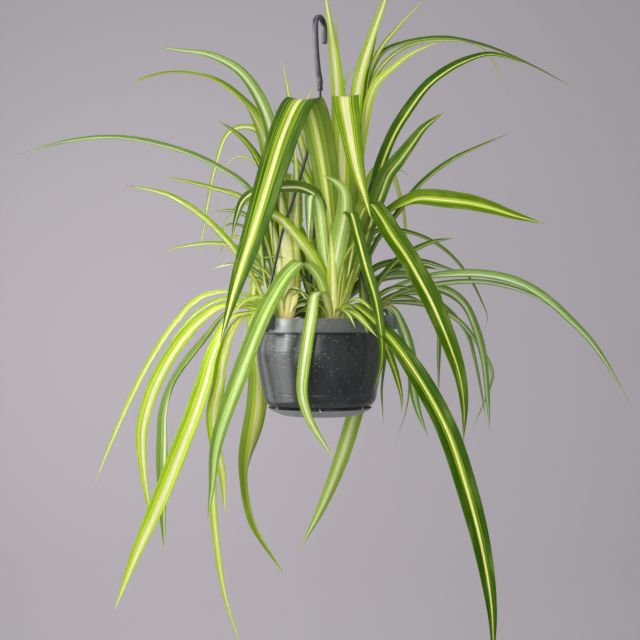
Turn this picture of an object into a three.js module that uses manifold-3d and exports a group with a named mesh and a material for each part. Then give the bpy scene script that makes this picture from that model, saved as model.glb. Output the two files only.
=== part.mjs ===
// A potted spider plant: a round hanging pot with its clip-on saucer, a hook with three thin
// arms, potting soil, and five leafy crowns of long striped blades.
//
// Millimetres, +Z up. The origin is the seat of the hook, where it hangs on its rail or nail.
// The front of the plant looks along -Y. Heights below are above the rim of the pot, and the
// whole plant is let down by HANG at the end.

import * as THREE from 'three';
import { mergeVertices } from 'three/addons/utils/BufferGeometryUtils.js';
import Module from 'manifold-3d';

const wasm = await Module();
wasm.setup();

// Driving dimensions of the pot
const RIM_RADIUS = 75;
const RIM_HEIGHT = 15.5;
const WALL = 2;
const SHOULDER = 5;
const BELLY_RADIUS = 74;
const BELLY_DEPTH = 35.5;
const HEEL_RADIUS = 67;
const HEEL_DEPTH = 82;
const FLOOR_RADIUS = 61.5;
const FLOOR_DEPTH = 98.7;
const RIM_TOP = 1.75;
const LIP_CHAMFER = 0.8;
const NECK_DROP = 10;
const BELLY_HEIGHT = 12;
const FLOOR_CHAMFER = 3;
const FOOT_FLARE = 3.5;
const FOOT_RISE = 6;
const DRAIN_HOLES = 8;
const DRAIN_CIRCLE = 36;
const DRAIN_RADIUS = 4;
const STUD_RADIUS = 5;
const ROUND_STEPS = 36;

// Driving dimensions of the ears, the hanger and its hook
const EAR_ANGLES = { left: 222, right: 342, rear: 102 };
const EAR_WIDTH = 16.5;
const EAR_REACH = 90;
const EAR_TOP = 5.5;
const EAR_BOTTOM = -10.7;
const EAR_ROOT = 1.2;
const SLOT_PLAY = 1.2;
const ARM_DIAMETER = 3.2;
const ARM_SEAT = 81;
const BUTTON_RADIUS = 3.4;
const BUTTON_DEPTH = 2.6;
const HUB_HEIGHT = 252;
const COLLAR_HEIGHT = 275;
const HANG = 352;
const HOOK_RADIUS = 11.8;
const HOOK_WIDTH = 6.5;
const HOOK_THICKNESS = 5;
const HOOK_TURN = 63;
const HOOK_TIP = 326;
const RING_RADIUS = 3.5;
const RING_HEIGHT = 5;
const NECK_RADIUS = 2.8;
const STEM_RADIUS = 1.8;
const HUB_RADIUS = 5.5;

// Driving dimensions of the saucer and the soil
const SAUCER_RADIUS = 61;
const SAUCER_TOP = -101.6;
const SAUCER_BASE_RADIUS = 45;
const SAUCER_BASE = -110;
const SAUCER_WALL = 1.6;
const POSTS = 6;
const POST_WIDTH = 3;
const POST_THICKNESS = 1.8;
const STUD_HEIGHT = 8;
const STUD_TAPER = 3;
const SOIL_TOP = -10;
const CLEARANCE = 0.35;

// Driving dimensions of the plant
const VIEW_DISTANCE = 1120;
const STUB_RADIUS = 10;
const STUB_BOTTOM = -44;
const STUB_TOP = 12;
const ROOT_DEPTH = 8;
const ROOT_OFFSET = 3;
const BLADE_THICKNESS = 1.5;
const EDGE_THICKNESS = 0.9;
const LEAST_WIDTH = 1.6;
const CHANNEL = 0.16;

const radians = THREE.MathUtils.degToRad;

// Closed three.js geometry to a solid, and back

function toSolid(geometry) {
  const bare = geometry.index ? geometry.clone() : geometry;
  bare.deleteAttribute('normal');
  bare.deleteAttribute('uv');
  const merged = mergeVertices(bare, 1e-4);
  const mesh = new wasm.Mesh({
    numProp: 3,
    vertProperties: new Float32Array(merged.attributes.position.array),
    triVerts: new Uint32Array(merged.index.array),
  });
  mesh.merge();
  return new wasm.Manifold(mesh);
}

function toGeometry(solid) {
  const mesh = solid.getMesh();
  const geometry = new THREE.BufferGeometry();
  geometry.setAttribute('position', new THREE.BufferAttribute(new Float32Array(mesh.vertProperties), 3));
  geometry.setIndex(new THREE.BufferAttribute(new Uint32Array(mesh.triVerts), 1));
  geometry.computeVertexNormals();
  return geometry;
}

const join = (solids) => wasm.Manifold.union(solids);

// Crossing leaves can shut in a small hollow, which comes out as a body of negative volume
function filled(solid) {
  const bodies = solid.decompose().filter((body) => body.volume() > 0);
  return bodies.length === 1 ? bodies[0] : join(bodies);
}

function upright(geometry, x, y, z) {
  geometry.rotateX(Math.PI / 2);
  geometry.translate(x, y, z);
  return toSolid(geometry);
}

function rod(radius, bottom, top, x, y, sides = 16, topRadius = radius) {
  const cylinder = new THREE.CylinderGeometry(topRadius, radius, top - bottom, sides);
  return upright(cylinder, x, y, (top + bottom) / 2);
}

// Turned solid from a closed outline of [radius, height] points
function turned(outline, steps = ROUND_STEPS) {
  const points = outline.map(([radius, height]) => new THREE.Vector2(radius, height));
  const lathe = new THREE.LatheGeometry(points, steps);
  lathe.rotateX(Math.PI / 2);
  return toSolid(lathe);
}

function block(width, depth, height, x, y, z) {
  const box = new THREE.BoxGeometry(width, depth, height);
  box.translate(x, y, z);
  return toSolid(box);
}

// Swept solid of an oval section along a smooth curve
function swept(points, width, thickness, steps, sides) {
  const section = new THREE.Shape();
  for (let side = 0; side < sides; side += 1) {
    const angle = (2 * Math.PI * (side + 0.5)) / sides;
    const corner = [Math.cos(angle) * width / 2, Math.sin(angle) * thickness / 2];
    if (side === 0) section.moveTo(...corner);
    else section.lineTo(...corner);
  }
  section.closePath();
  const curve = new THREE.CatmullRomCurve3(points, false, 'centripetal');
  return toSolid(new THREE.ExtrudeGeometry(section, { steps, bevelEnabled: false, extrudePath: curve }));
}

// The pot: rim band, shoulder, belly, rounded heel, floor with drain holes, and three ears

const BAND_BOTTOM = RIM_TOP - RIM_HEIGHT;
const BELLY_NECK = BELLY_RADIUS - 1.4;
const BELLY_FOOT = BELLY_RADIUS - 0.8;

const potOutside = [
  [FLOOR_RADIUS - FLOOR_CHAMFER, -FLOOR_DEPTH],
  [FLOOR_RADIUS, -FLOOR_DEPTH + LIP_CHAMFER],
  [FLOOR_RADIUS + FOOT_FLARE, -FLOOR_DEPTH + FOOT_RISE],
  [HEEL_RADIUS, -HEEL_DEPTH],
  [BELLY_FOOT, -BELLY_DEPTH - BELLY_HEIGHT],
  [BELLY_RADIUS, -BELLY_DEPTH],
  [BELLY_NECK, -BELLY_DEPTH + NECK_DROP],
  [RIM_RADIUS - SHOULDER, BAND_BOTTOM - 1],
  [RIM_RADIUS - SHOULDER, BAND_BOTTOM],
  [RIM_RADIUS, BAND_BOTTOM],
  [RIM_RADIUS, RIM_TOP - LIP_CHAMFER],
  [RIM_RADIUS - LIP_CHAMFER, RIM_TOP],
];

const potInside = [
  [RIM_RADIUS - WALL - 0.4, RIM_TOP],
  [RIM_RADIUS - WALL - 0.6, BAND_BOTTOM + WALL],
  [RIM_RADIUS - SHOULDER - WALL, BAND_BOTTOM + WALL],
  [RIM_RADIUS - SHOULDER - WALL, BAND_BOTTOM - 1.5],
  [BELLY_NECK - WALL, -BELLY_DEPTH + NECK_DROP],
  [BELLY_RADIUS - WALL, -BELLY_DEPTH],
  [BELLY_FOOT - WALL, -BELLY_DEPTH - BELLY_HEIGHT],
  [HEEL_RADIUS - WALL, -HEEL_DEPTH],
  [FLOOR_RADIUS + FOOT_FLARE - WALL - 1, -FLOOR_DEPTH + FOOT_RISE + 1],
  [FLOOR_RADIUS - 5, -FLOOR_DEPTH + WALL],
];

function ear(angle) {
  const inner = RIM_RADIUS - EAR_ROOT;
  const middle = (inner + EAR_REACH) / 2;
  const height = EAR_TOP - EAR_BOTTOM;
  const level = (EAR_TOP + EAR_BOTTOM) / 2;
  const body = block(EAR_REACH - inner, EAR_WIDTH, height, middle, 0, level);
  const slotWidth = ARM_DIAMETER + SLOT_PLAY;
  const slotEnd = ARM_SEAT - slotWidth / 2 - 1;
  const slotLength = 20;
  const slot = block(slotLength, slotWidth, height + 4, slotEnd + slotLength / 2, 0, level);
  return body.subtract(slot).rotate([0, 0, angle]);
}

function pot() {
  const shell = turned([[0, -FLOOR_DEPTH], ...potOutside, ...potInside, [0, -FLOOR_DEPTH + WALL]]);
  const drill = [-FLOOR_DEPTH - 2, -FLOOR_DEPTH + WALL + 2];
  const holes = [rod(STUD_RADIUS, ...drill, 0, 0)];
  for (let hole = 0; hole < DRAIN_HOLES; hole += 1) {
    const angle = (2 * Math.PI * hole) / DRAIN_HOLES;
    const [x, y] = [DRAIN_CIRCLE * Math.cos(angle), DRAIN_CIRCLE * Math.sin(angle)];
    holes.push(rod(DRAIN_RADIUS, ...drill, x, y, 10));
  }
  const ears = Object.values(EAR_ANGLES).map(ear);
  return join([shell, ...ears]).subtract(join(holes));
}

// The saucer: a shallow dish with posts under the pot's edge and a stud in the pot's middle hole

const STUD_TOP = -FLOOR_DEPTH + STUD_HEIGHT;

function saucer() {
  const dish = turned([
    [0, SAUCER_BASE],
    [SAUCER_BASE_RADIUS, SAUCER_BASE],
    [SAUCER_RADIUS - 3, SAUCER_TOP - 2.6],
    [SAUCER_RADIUS, SAUCER_TOP],
    [SAUCER_RADIUS - SAUCER_WALL, SAUCER_TOP],
    [SAUCER_RADIUS - 5, SAUCER_TOP - 1.6],
    [SAUCER_BASE_RADIUS - 1, SAUCER_BASE + SAUCER_WALL],
    [0, SAUCER_BASE + SAUCER_WALL],
  ]);
  const postTop = -FLOOR_DEPTH - CLEARANCE;
  const postCircle = FLOOR_RADIUS - 5.5;
  const posts = [];
  for (let post = 0; post < POSTS; post += 1) {
    const bottom = SAUCER_TOP - 4;
    const middle = (postTop + bottom) / 2;
    const bar = block(POST_WIDTH, POST_THICKNESS, postTop - bottom, postCircle, 0, middle);
    posts.push(bar.rotate([0, 0, (360 * (post + 0.5)) / POSTS]));
  }
  const studRadius = STUD_RADIUS - CLEARANCE;
  const capBottom = STUD_TOP - STUD_TAPER;
  const stud = rod(studRadius, SAUCER_BASE + 1, capBottom, 0, 0, 16);
  const cap = rod(studRadius, capBottom - 0.1, STUD_TOP, 0, 0, 16, STUD_RADIUS - 2);
  return join([dish, stud, cap, ...posts]);
}

// The soil fills the pot and has a plain hole for each crown and one for the saucer's stud

function soil(crowns) {
  const outside = potInside
    .filter(([, height]) => height < BAND_BOTTOM)
    .map(([radius, height]) => [radius - CLEARANCE, height])
    .reverse();
  const floor = -FLOOR_DEPTH + WALL + CLEARANCE;
  outside[0][1] = floor;
  const edge = outside[outside.length - 1][0];
  const heap = turned([
    [0, floor],
    ...outside,
    [edge, SOIL_TOP - 1],
    [edge - 1, SOIL_TOP],
    [0, SOIL_TOP],
  ]);
  const holes = crowns.map(({ place: [x, y] }) => (
    rod(STUB_RADIUS + CLEARANCE, STUB_BOTTOM - CLEARANCE, SOIL_TOP + 5, x, y, 14)
  ));
  holes.push(rod(STUD_RADIUS + 1, floor - 2, STUD_TOP + 1.5, 0, 0, 16));
  return heap.subtract(join(holes));
}

// The hook: a flat crook on an S-curved shank, a collar of two rings, a stem and a hub

function hook() {
  const crookCentre = HANG + HOOK_THICKNESS / 2 - HOOK_RADIUS;
  const line = [[0, COLLAR_HEIGHT], [-1.2, 283], [-4.6, 291], [-8.2, 306], [-10.8, 323]];
  const arcSteps = 8;
  for (let step = 0; step <= arcSteps; step += 1) {
    const angle = Math.PI * (1 - step / arcSteps);
    line.push([HOOK_RADIUS * Math.cos(angle), crookCentre + HOOK_RADIUS * Math.sin(angle)]);
  }
  line.push([HOOK_RADIUS, HOOK_TIP]);
  const points = line.map(([across, height]) => new THREE.Vector3(across, 0, height));
  const crook = swept(points, HOOK_THICKNESS, HOOK_WIDTH, 26, 8);
  const lowRing = COLLAR_HEIGHT - RING_HEIGHT - 1;
  const highRing = COLLAR_HEIGHT + 1;
  const parts = [
    crook,
    rod(RING_RADIUS, lowRing, lowRing + RING_HEIGHT, 0, 0, 14),
    rod(NECK_RADIUS, lowRing + RING_HEIGHT - 0.5, highRing + 1, 0, 0, 14),
    rod(RING_RADIUS, highRing, highRing + RING_HEIGHT, 0, 0, 14),
    rod(STEM_RADIUS, HUB_HEIGHT + 4, lowRing + 1, 0, 0, 10),
    rod(HUB_RADIUS, HUB_HEIGHT, HUB_HEIGHT + 5, 0, 0, 12, STEM_RADIUS + 0.4),
  ];
  return join(parts).rotate([0, 0, HOOK_TURN]);
}

// The arms, as [distance from the pot's axis, height]: each leaves the hub, swings out over the
// leaves, and drops into the slot of its ear, where a button holds it

const ARM_LINES = {
  left: [[19, 196], [40, 140], [56, 103], [68, 63], [75.5, 36], [80, 14]],
  right: [[14, 200], [24, 150], [35, 110], [44, 78], [51, 51], [56, 30], [62, 15], [72, 12.5], [79, 11]],
  rear: [[15, 200], [25, 150], [38, 100], [50, 62], [60, 36], [72, 18], [79.5, 11]],
};

function arm(name) {
  const route = [[3.4, HUB_HEIGHT - CLEARANCE], [4.4, HUB_HEIGHT - 6]];
  route.push(...ARM_LINES[name], [ARM_SEAT, EAR_TOP], [ARM_SEAT, 0], [ARM_SEAT, EAR_BOTTOM - 1.5]);
  const points = route.map(([radius, height]) => new THREE.Vector3(radius, 0, height));
  const strand = swept(points, ARM_DIAMETER, ARM_DIAMETER, 24, 8);
  const [buttonBottom, buttonTop] = [EAR_BOTTOM - BUTTON_DEPTH, EAR_BOTTOM - CLEARANCE];
  const button = rod(BUTTON_RADIUS, buttonBottom, buttonTop, ARM_SEAT, 0, 10);
  return strand.add(button).rotate([0, 0, EAR_ANGLES[name]]);
}

// Blades. A leaf is a row: width, roll in degrees, then its points from the crown to the tip.
// Points are [across, depth, height] as they look from the front, from VIEW_DISTANCE away at
// the height of the rim; a deeper point looks smaller from there, so it is moved out to its
// real place. Roll turns the upper face of the blade to the front. Two rolls are for the middle
// and the tip of a twisted leaf. A leaf with no roll lies straight across the view.

function fromView([across, depth, height]) {
  const scale = 1 + depth / VIEW_DISTANCE;
  return new THREE.Vector3(across * scale, depth, height * scale);
}

function bladeWidth(along) {
  const swell = THREE.MathUtils.smoothstep(along, 0, 0.45);
  const taper = along < 0.55 ? 1 : 1 - ((along - 0.55) / 0.45) ** 2.1;
  return (0.45 + 0.55 * swell) * Math.max(taper, 0);
}

// Solid from corners and triangles, turned over if they face inwards
function closed(corners, faces) {
  const mesh = new wasm.Mesh({
    numProp: 3,
    vertProperties: new Float32Array(corners.flatMap((corner) => corner.toArray())),
    triVerts: new Uint32Array(faces.flat()),
  });
  const solid = new wasm.Manifold(mesh);
  if (solid.volume() > 0) return solid;
  const turnedOver = faces.map(([a, b, c]) => [a, c, b]);
  return new wasm.Manifold(new wasm.Mesh({
    numProp: 3,
    vertProperties: mesh.vertProperties,
    triVerts: new Uint32Array(turnedOver.flat()),
  }));
}

function blade(place, [width, roll, ...points]) {
  const tip = fromView(points[points.length - 1]);
  const heading = new THREE.Vector3(tip.x - place[0], tip.y - place[1], 0).normalize();
  const root = new THREE.Vector3(...place, SOIL_TOP - ROOT_DEPTH);
  root.addScaledVector(heading, ROOT_OFFSET);
  const curve = new THREE.CatmullRomCurve3([root, ...points.map(fromView)], false, 'centripetal');
  const steps = points.length + 5;
  const lengths = curve.getLengths(steps * 8);
  const [rollMiddle, rollTip = rollMiddle] = [roll].flat();
  const side = new THREE.Vector3(heading.y, -heading.x, 0);
  if (rollMiddle === 0) side.set(Math.sign(heading.y) || 1, 0, 0);
  const corners = [];
  for (let step = 0; step < steps; step += 1) {
    const at = step / steps;
    const along = lengths[step * 8] / lengths[lengths.length - 1];
    const centre = curve.getPoint(at);
    const tangent = curve.getTangent(at);
    const across = side.clone().addScaledVector(tangent, -side.dot(tangent)).normalize();
    const lean = rollMiddle * THREE.MathUtils.smoothstep(along, 0, 0.4)
      + (rollTip - rollMiddle) * THREE.MathUtils.smoothstep(along, 0.45, 0.7);
    across.applyAxisAngle(tangent, radians(lean) * Math.sign(heading.x || 1));
    const face = across.clone().cross(tangent);
    const half = Math.max(width * bladeWidth(along), LEAST_WIDTH) / 2;
    const lift = half * 2 * CHANNEL;
    const thick = Math.min(BLADE_THICKNESS, EDGE_THICKNESS + half * 0.1) / 2;
    for (const [u, v] of [[-half, lift], [0, thick], [half, lift], [0, -thick]]) {
      corners.push(centre.clone().addScaledVector(across, u).addScaledVector(face, v));
    }
  }
  corners.push(tip);
  const faces = [];
  const last = corners.length - 1;
  for (let ring = 0; ring < steps; ring += 1) {
    for (let edge = 0; edge < 4; edge += 1) {
      const a = ring * 4 + edge;
      const b = ring * 4 + ((edge + 1) % 4);
      if (ring === steps - 1) {
        faces.push([a, b, last]);
      } else if (edge % 2 === 0) {
        faces.push([a, b, b + 4], [a, b + 4, a + 4]);
      } else {
        faces.push([a, b, a + 4], [b, b + 4, a + 4]);
      }
    }
  }
  faces.push([0, 2, 1], [0, 3, 2]);
  return closed(corners, faces);
}

// The crowns: where each grows, its colour, and its leaves
export const CROWNS = [
  {
    name: 'crown_centre',
    place: [18, -14],
    color: 0x6f9a2e,
    leaves: [
      // Broad leaves that rise, bend at a knee and hang in front
      [32, 0, [16, -26, 70], [10, -44, 145], [0, -70, 210], [-8, -86, 243], [-14, -96, 256],
       [-20, -107, 258], [-27, -118, 250], [-41, -124, 218], [-57, -127, 168], [-67, -129, 135],
       [-81, -131, 91], [-96, -132, 46], [-117, -130, -27]],
      [30, 0, [24, -18, 80], [27, -32, 160], [29, -56, 230], [29, -72, 258], [30, -80, 262],
       [31, -87, 249], [35, -92, 225], [39, -97, 200], [44, -100, 175], [51, -103, 150],
       [60, -106, 118]],
      [22, 0, [14, -34, 40], [22, -44, 90], [29, -52, 130], [27, -58, 152], [16, -62, 163],
       [4, -66, 169]],
      [15, 0, [5, -40, 80], [-4, -56, 138], [-11, -64, 146], [-13, -68, 122], [-14, -68, 91]],
      [13, 0, [28, -28, 60], [31, -46, 115], [36, -56, 126], [44, -66, 100], [54, -78, 62],
       [66, -88, 20], [73, -92, -38], [69, -92, -64], [63, -92, -81]],
      // Tall leaves
      [12, 30, [7, 2, 80], [-6, 8, 140], [-21, 16, 172], [-40, 26, 202], [-55, 32, 255]],
      // Arches to the right
      [15, 65, [46, -4, 70], [58, -8, 130], [66, -10, 158], [73, -12, 184], [87, -16, 218],
       [105, -21, 247], [124, -25, 272], [143, -28, 288], [165, -31, 301], [195, -34, 311],
       [215, -35, 309], [242, -36, 300]],
      [22, 75, [44, -28, 60], [60, -28, 118], [71, -28, 148], [80, -29, 171], [94, -32, 188],
       [109, -36, 208], [122, -40, 225], [146, -44, 244]],
      [22, [25, 80], [40, -28, 50], [52, -29, 98], [70, -27, 119], [84, -29, 128],
       [100, -33, 136], [115, -36, 142], [140, -42, 141], [160, -46, 139], [175, -49, 137],
       [200, -54, 131], [225, -57, 123], [262, -60, 113]],
      [22, 0, [36, -26, 70], [47, -42, 120], [58, -54, 136], [71, -64, 121], [84, -72, 100],
       [102, -79, 74], [118, -86, 46], [132, -90, 19], [147, -93, -16], [155, -94, -37],
       [162, -95, -58], [167, -96, -82], [169, -96, -106], [168, -95, -143]],
      // Arches to the left
      [15, 70, [8, -34, 90], [0, -44, 140], [-20, -52, 154], [-45, -58, 155], [-72, -62, 152],
       [-90, -64, 140], [-98, -64, 120], [-104, -64, 92]],
      [17, 75, [10, -30, 30], [-5, -44, 66], [-30, -58, 99], [-55, -68, 123], [-72, -74, 120],
       [-84, -76, 104]],
      // Leaves that hang over the rim in front
      [18, 0, [8, -40, 22], [-2, -58, 50], [-20, -80, 67], [-34, -88, 58], [-62, -98, 14],
       [-96, -108, -70], [-121, -114, -145], [-127, -114, -200], [-132, -110, -234]],
      [13, 0, [8, -40, 20], [2, -58, 32], [-6, -72, 28], [-10, -84, 4], [-19, -92, -55],
       [-21, -94, -85], [-13, -94, -115], [18, -92, -165]],
      [22, 0, [27, -32, 10], [36, -48, 18], [52, -64, 8], [92, -98, -34], [144, -134, -120],
       [172, -152, -200], [190, -160, -270], [201, -164, -340], [203, -164, -404]],
      [9, 0, [40, -30, 14], [60, -45, 14], [74, -52, -22], [88, -54, -60], [95, -54, -88],
       [96, -54, -108]],
      [9, 0, [21, -34, 6], [28, -52, 11], [42, -68, 6], [68, -80, -21]],
      [6, 0, [20, -34, 8], [24, -54, 12], [34, -78, 5], [42, -82, -10]],
    ],
  },
  {
    name: 'crown_left',
    place: [-42, -16],
    color: 0x9cbf3a,
    leaves: [
      // Tall leaves that arch to the left
      [17, 52, [-44, -14, 80], [-52, -8, 170], [-64, -2, 240], [-90, 4, 286], [-112, 8, 302],
       [-135, 10, 311], [-162, 13, 315], [-192, 16, 320]],
      [15, 60, [-50, -22, 60], [-56, -26, 130], [-70, -30, 180], [-92, -34, 213],
       [-120, -38, 234]],
      [11, 38, [-64, -20, 40], [-70, -22, 100], [-82, -26, 150], [-125, -34, 181],
       [-175, -40, 201], [-240, -46, 213], [-300, -50, 208], [-358, -54, 192]],
      [12, 50, [-62, -24, 16], [-84, -30, 56], [-110, -38, 92], [-140, -44, 121],
       [-175, -49, 144], [-200, -52, 152], [-228, -54, 158]],
      [10, 50, [-58, -10, 70], [-78, -8, 115], [-100, -6, 127], [-130, -4, 127]],
      [7, 45, [-56, -16, 30], [-76, -18, 57], [-100, -20, 65], [-128, -22, 60]],
      // Short leaves in the middle
      [7, 45, [-34, -22, 40], [-30, -28, 66], [-42, -30, 74], [-72, -32, 72]],
      [7, 20, [-38, -30, 28], [-30, -40, 38], [-14, -48, 22]],
      [9, 0, [-32, -6, 80], [-28, 2, 150], [-30, 10, 215]],
      // Low arches that hang to the left of the pot
      [20, [28, 60], [-60, -12, 6], [-84, -10, 14], [-100, -9, 13], [-112, -8, 5],
       [-131, -6, -20], [-146, -5, -39], [-159, -4, -56], [-170, -3, -73], [-177, -2, -92],
       [-181, -2, -112], [-182, -2, -140], [-183, -2, -170], [-183, -2, -220], [-182, -2, -275]],
      [21, 58, [-60, -26, 6], [-84, -36, 6], [-103, -42, 2], [-113, -44, -10], [-119, -46, -25],
       [-127, -47, -46], [-133, -48, -69], [-140, -49, -91], [-148, -50, -114], [-157, -51, -137],
       [-167, -52, -163], [-188, -54, -215], [-215, -56, -275], [-241, -58, -341]],
      [15, 55, [-58, -22, 4], [-78, -28, 8], [-98, -32, -6], [-111, -34, -36], [-118, -34, -75],
       [-125, -34, -110], [-122, -34, -145], [-114, -34, -180], [-111, -34, -230]],
      [11, 55, [-58, -14, 4], [-78, -16, 10], [-98, -18, -8], [-109, -18, -42], [-116, -18, -92],
       [-123, -18, -150], [-124, -18, -210], [-119, -18, -270], [-110, -18, -325],
       [-91, -18, -387]],
    ],
  },
  {
    name: 'crown_rear_left',
    place: [-44, 34],
    color: 0xa9c64c,
    leaves: [
      // Arches to the left, behind the first row
      [22, [65, 12], [-46, 36, 70], [-54, 40, 150], [-66, 44, 215], [-88, 50, 252],
       [-125, 56, 281], [-175, 62, 290], [-226, 66, 277]],
      [9, 50, [-54, 30, 60], [-70, 28, 115], [-88, 30, 140], [-130, 32, 155], [-190, 34, 170]],
      [9, 60, [-52, 42, 100], [-58, 52, 170], [-66, 60, 214], [-82, 64, 225], [-102, 68, 222],
       [-111, 70, 212], [-120, 73, 185], [-126, 75, 162], [-131, 77, 135], [-136, 78, 105],
       [-144, 80, 62]],
      [9, 42, [-62, 44, 50], [-96, 52, 83], [-125, 56, 89], [-164, 60, 85], [-187, 62, 79]],
      [6, 50, [-66, 50, 60], [-100, 62, 98], [-114, 66, 86], [-118, 68, 62]],
      // Low arches that hang to the left of the pot
      [11, 55, [-62, 40, 16], [-82, 46, 27], [-110, 52, 32], [-140, 58, 25], [-170, 62, -6],
       [-200, 66, -52], [-238, 70, -130], [-265, 72, -195]],
      [8, 45, [-60, 34, 12], [-84, 38, 20], [-112, 42, 24], [-140, 46, 11], [-178, 50, -28]],
      [19, 60, [-60, 28, 8], [-86, 26, 17], [-104, 26, 17], [-120, 26, 12], [-139, 26, -1],
       [-154, 27, -16], [-171, 29, -39], [-184, 30, -61], [-194, 31, -82], [-202, 32, -106],
       [-207, 32, -129], [-207, 32, -157], [-204, 32, -190], [-196, 32, -240]],
      [25, [0, 72], [-50, 41, 12], [-60, 45, 22], [-70, 48, 12], [-74, 48, -10], [-75, 48, -40],
       [-73, 47, -63], [-74, 46, -91], [-77, 45, -119], [-81, 44, -144], [-85, 43, -166],
       [-86, 42, -185], [-84, 42, -207], [-76, 40, -240], [-44, 38, -295]],
      // Arches to the back
      [16, 0, [-48, 56, 50], [-50, 90, 90], [-52, 124, 84], [-54, 150, 40], [-54, 162, -20],
       [-52, 166, -90]],
      [18, 0, [-38, 60, 80], [-34, 96, 150], [-30, 140, 170], [-28, 180, 140], [-26, 206, 80],
       [-24, 214, 10]],
    ],
  },
  {
    name: 'crown_right',
    place: [52, 18],
    color: 0x5d8636,
    leaves: [
      // Arches to the right
      [10, 45, [52, 10, 45], [64, 6, 85], [90, 2, 122], [118, -4, 158], [155, -8, 187],
       [222, -12, 219]],
      [11, 50, [62, 8, 28], [76, 0, 52], [92, -6, 70], [112, -10, 82], [132, -12, 91],
       [157, -14, 96]],
      [11, 45, [62, 16, 30], [76, 18, 53], [96, 20, 62], [118, 22, 62], [142, 24, 59]],
      [13, 50, [64, 6, 20], [88, 0, 38], [130, -6, 50], [160, -10, 53], [185, -13, 53],
       [212, -16, 49], [232, -17, 43], [250, -18, 34], [268, -19, 21], [285, -20, 6],
       [320, -20, -30], [362, -20, -95]],
      [9, 42, [66, 12, 14], [88, 16, 29], [125, 22, 39], [180, 28, 44], [225, 32, 37],
       [265, 36, 20], [302, 38, -9]],
      [7, 50, [54, 26, 60], [62, 30, 101], [88, 36, 105], [122, 44, 96], [150, 50, 78],
       [172, 54, 53], [188, 56, 24], [196, 57, 2], [191, 58, -13]],
      [14, 62, [76, 30, 18], [108, 38, 36], [142, 44, 35], [166, 48, 20], [180, 50, -8],
       [190, 50, -45], [195, 50, -88], [199, 50, -133]],
      // Leaves that hang to the right of the pot
      [12, 60, [74, 12, 14], [84, 10, 14], [97, 6, -10], [106, 4, -42], [108, 2, -78],
       [115, 2, -108], [127, 2, -137]],
      [4, 20, [66, 24, 14], [84, 24, 8], [92, 20, -8], [101, 18, -45], [104, 16, -80],
       [99, 16, -112], [88, 16, -142]],
      [7, 60, [68, 30, 12], [77, 38, 0], [76, 40, -40], [72, 40, -80], [74, 40, -122]],
      // Arches to the back
      [17, 0, [50, 48, 50], [50, 84, 90], [52, 118, 86], [54, 144, 46], [54, 158, -10],
       [52, 164, -80]],
      [13, 0, [56, 40, 22], [60, 70, 30], [62, 96, 10], [62, 110, -30], [60, 116, -85]],
    ],
  },
  {
    name: 'crown_rear',
    place: [6, 50],
    color: 0x7fa541,
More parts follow.
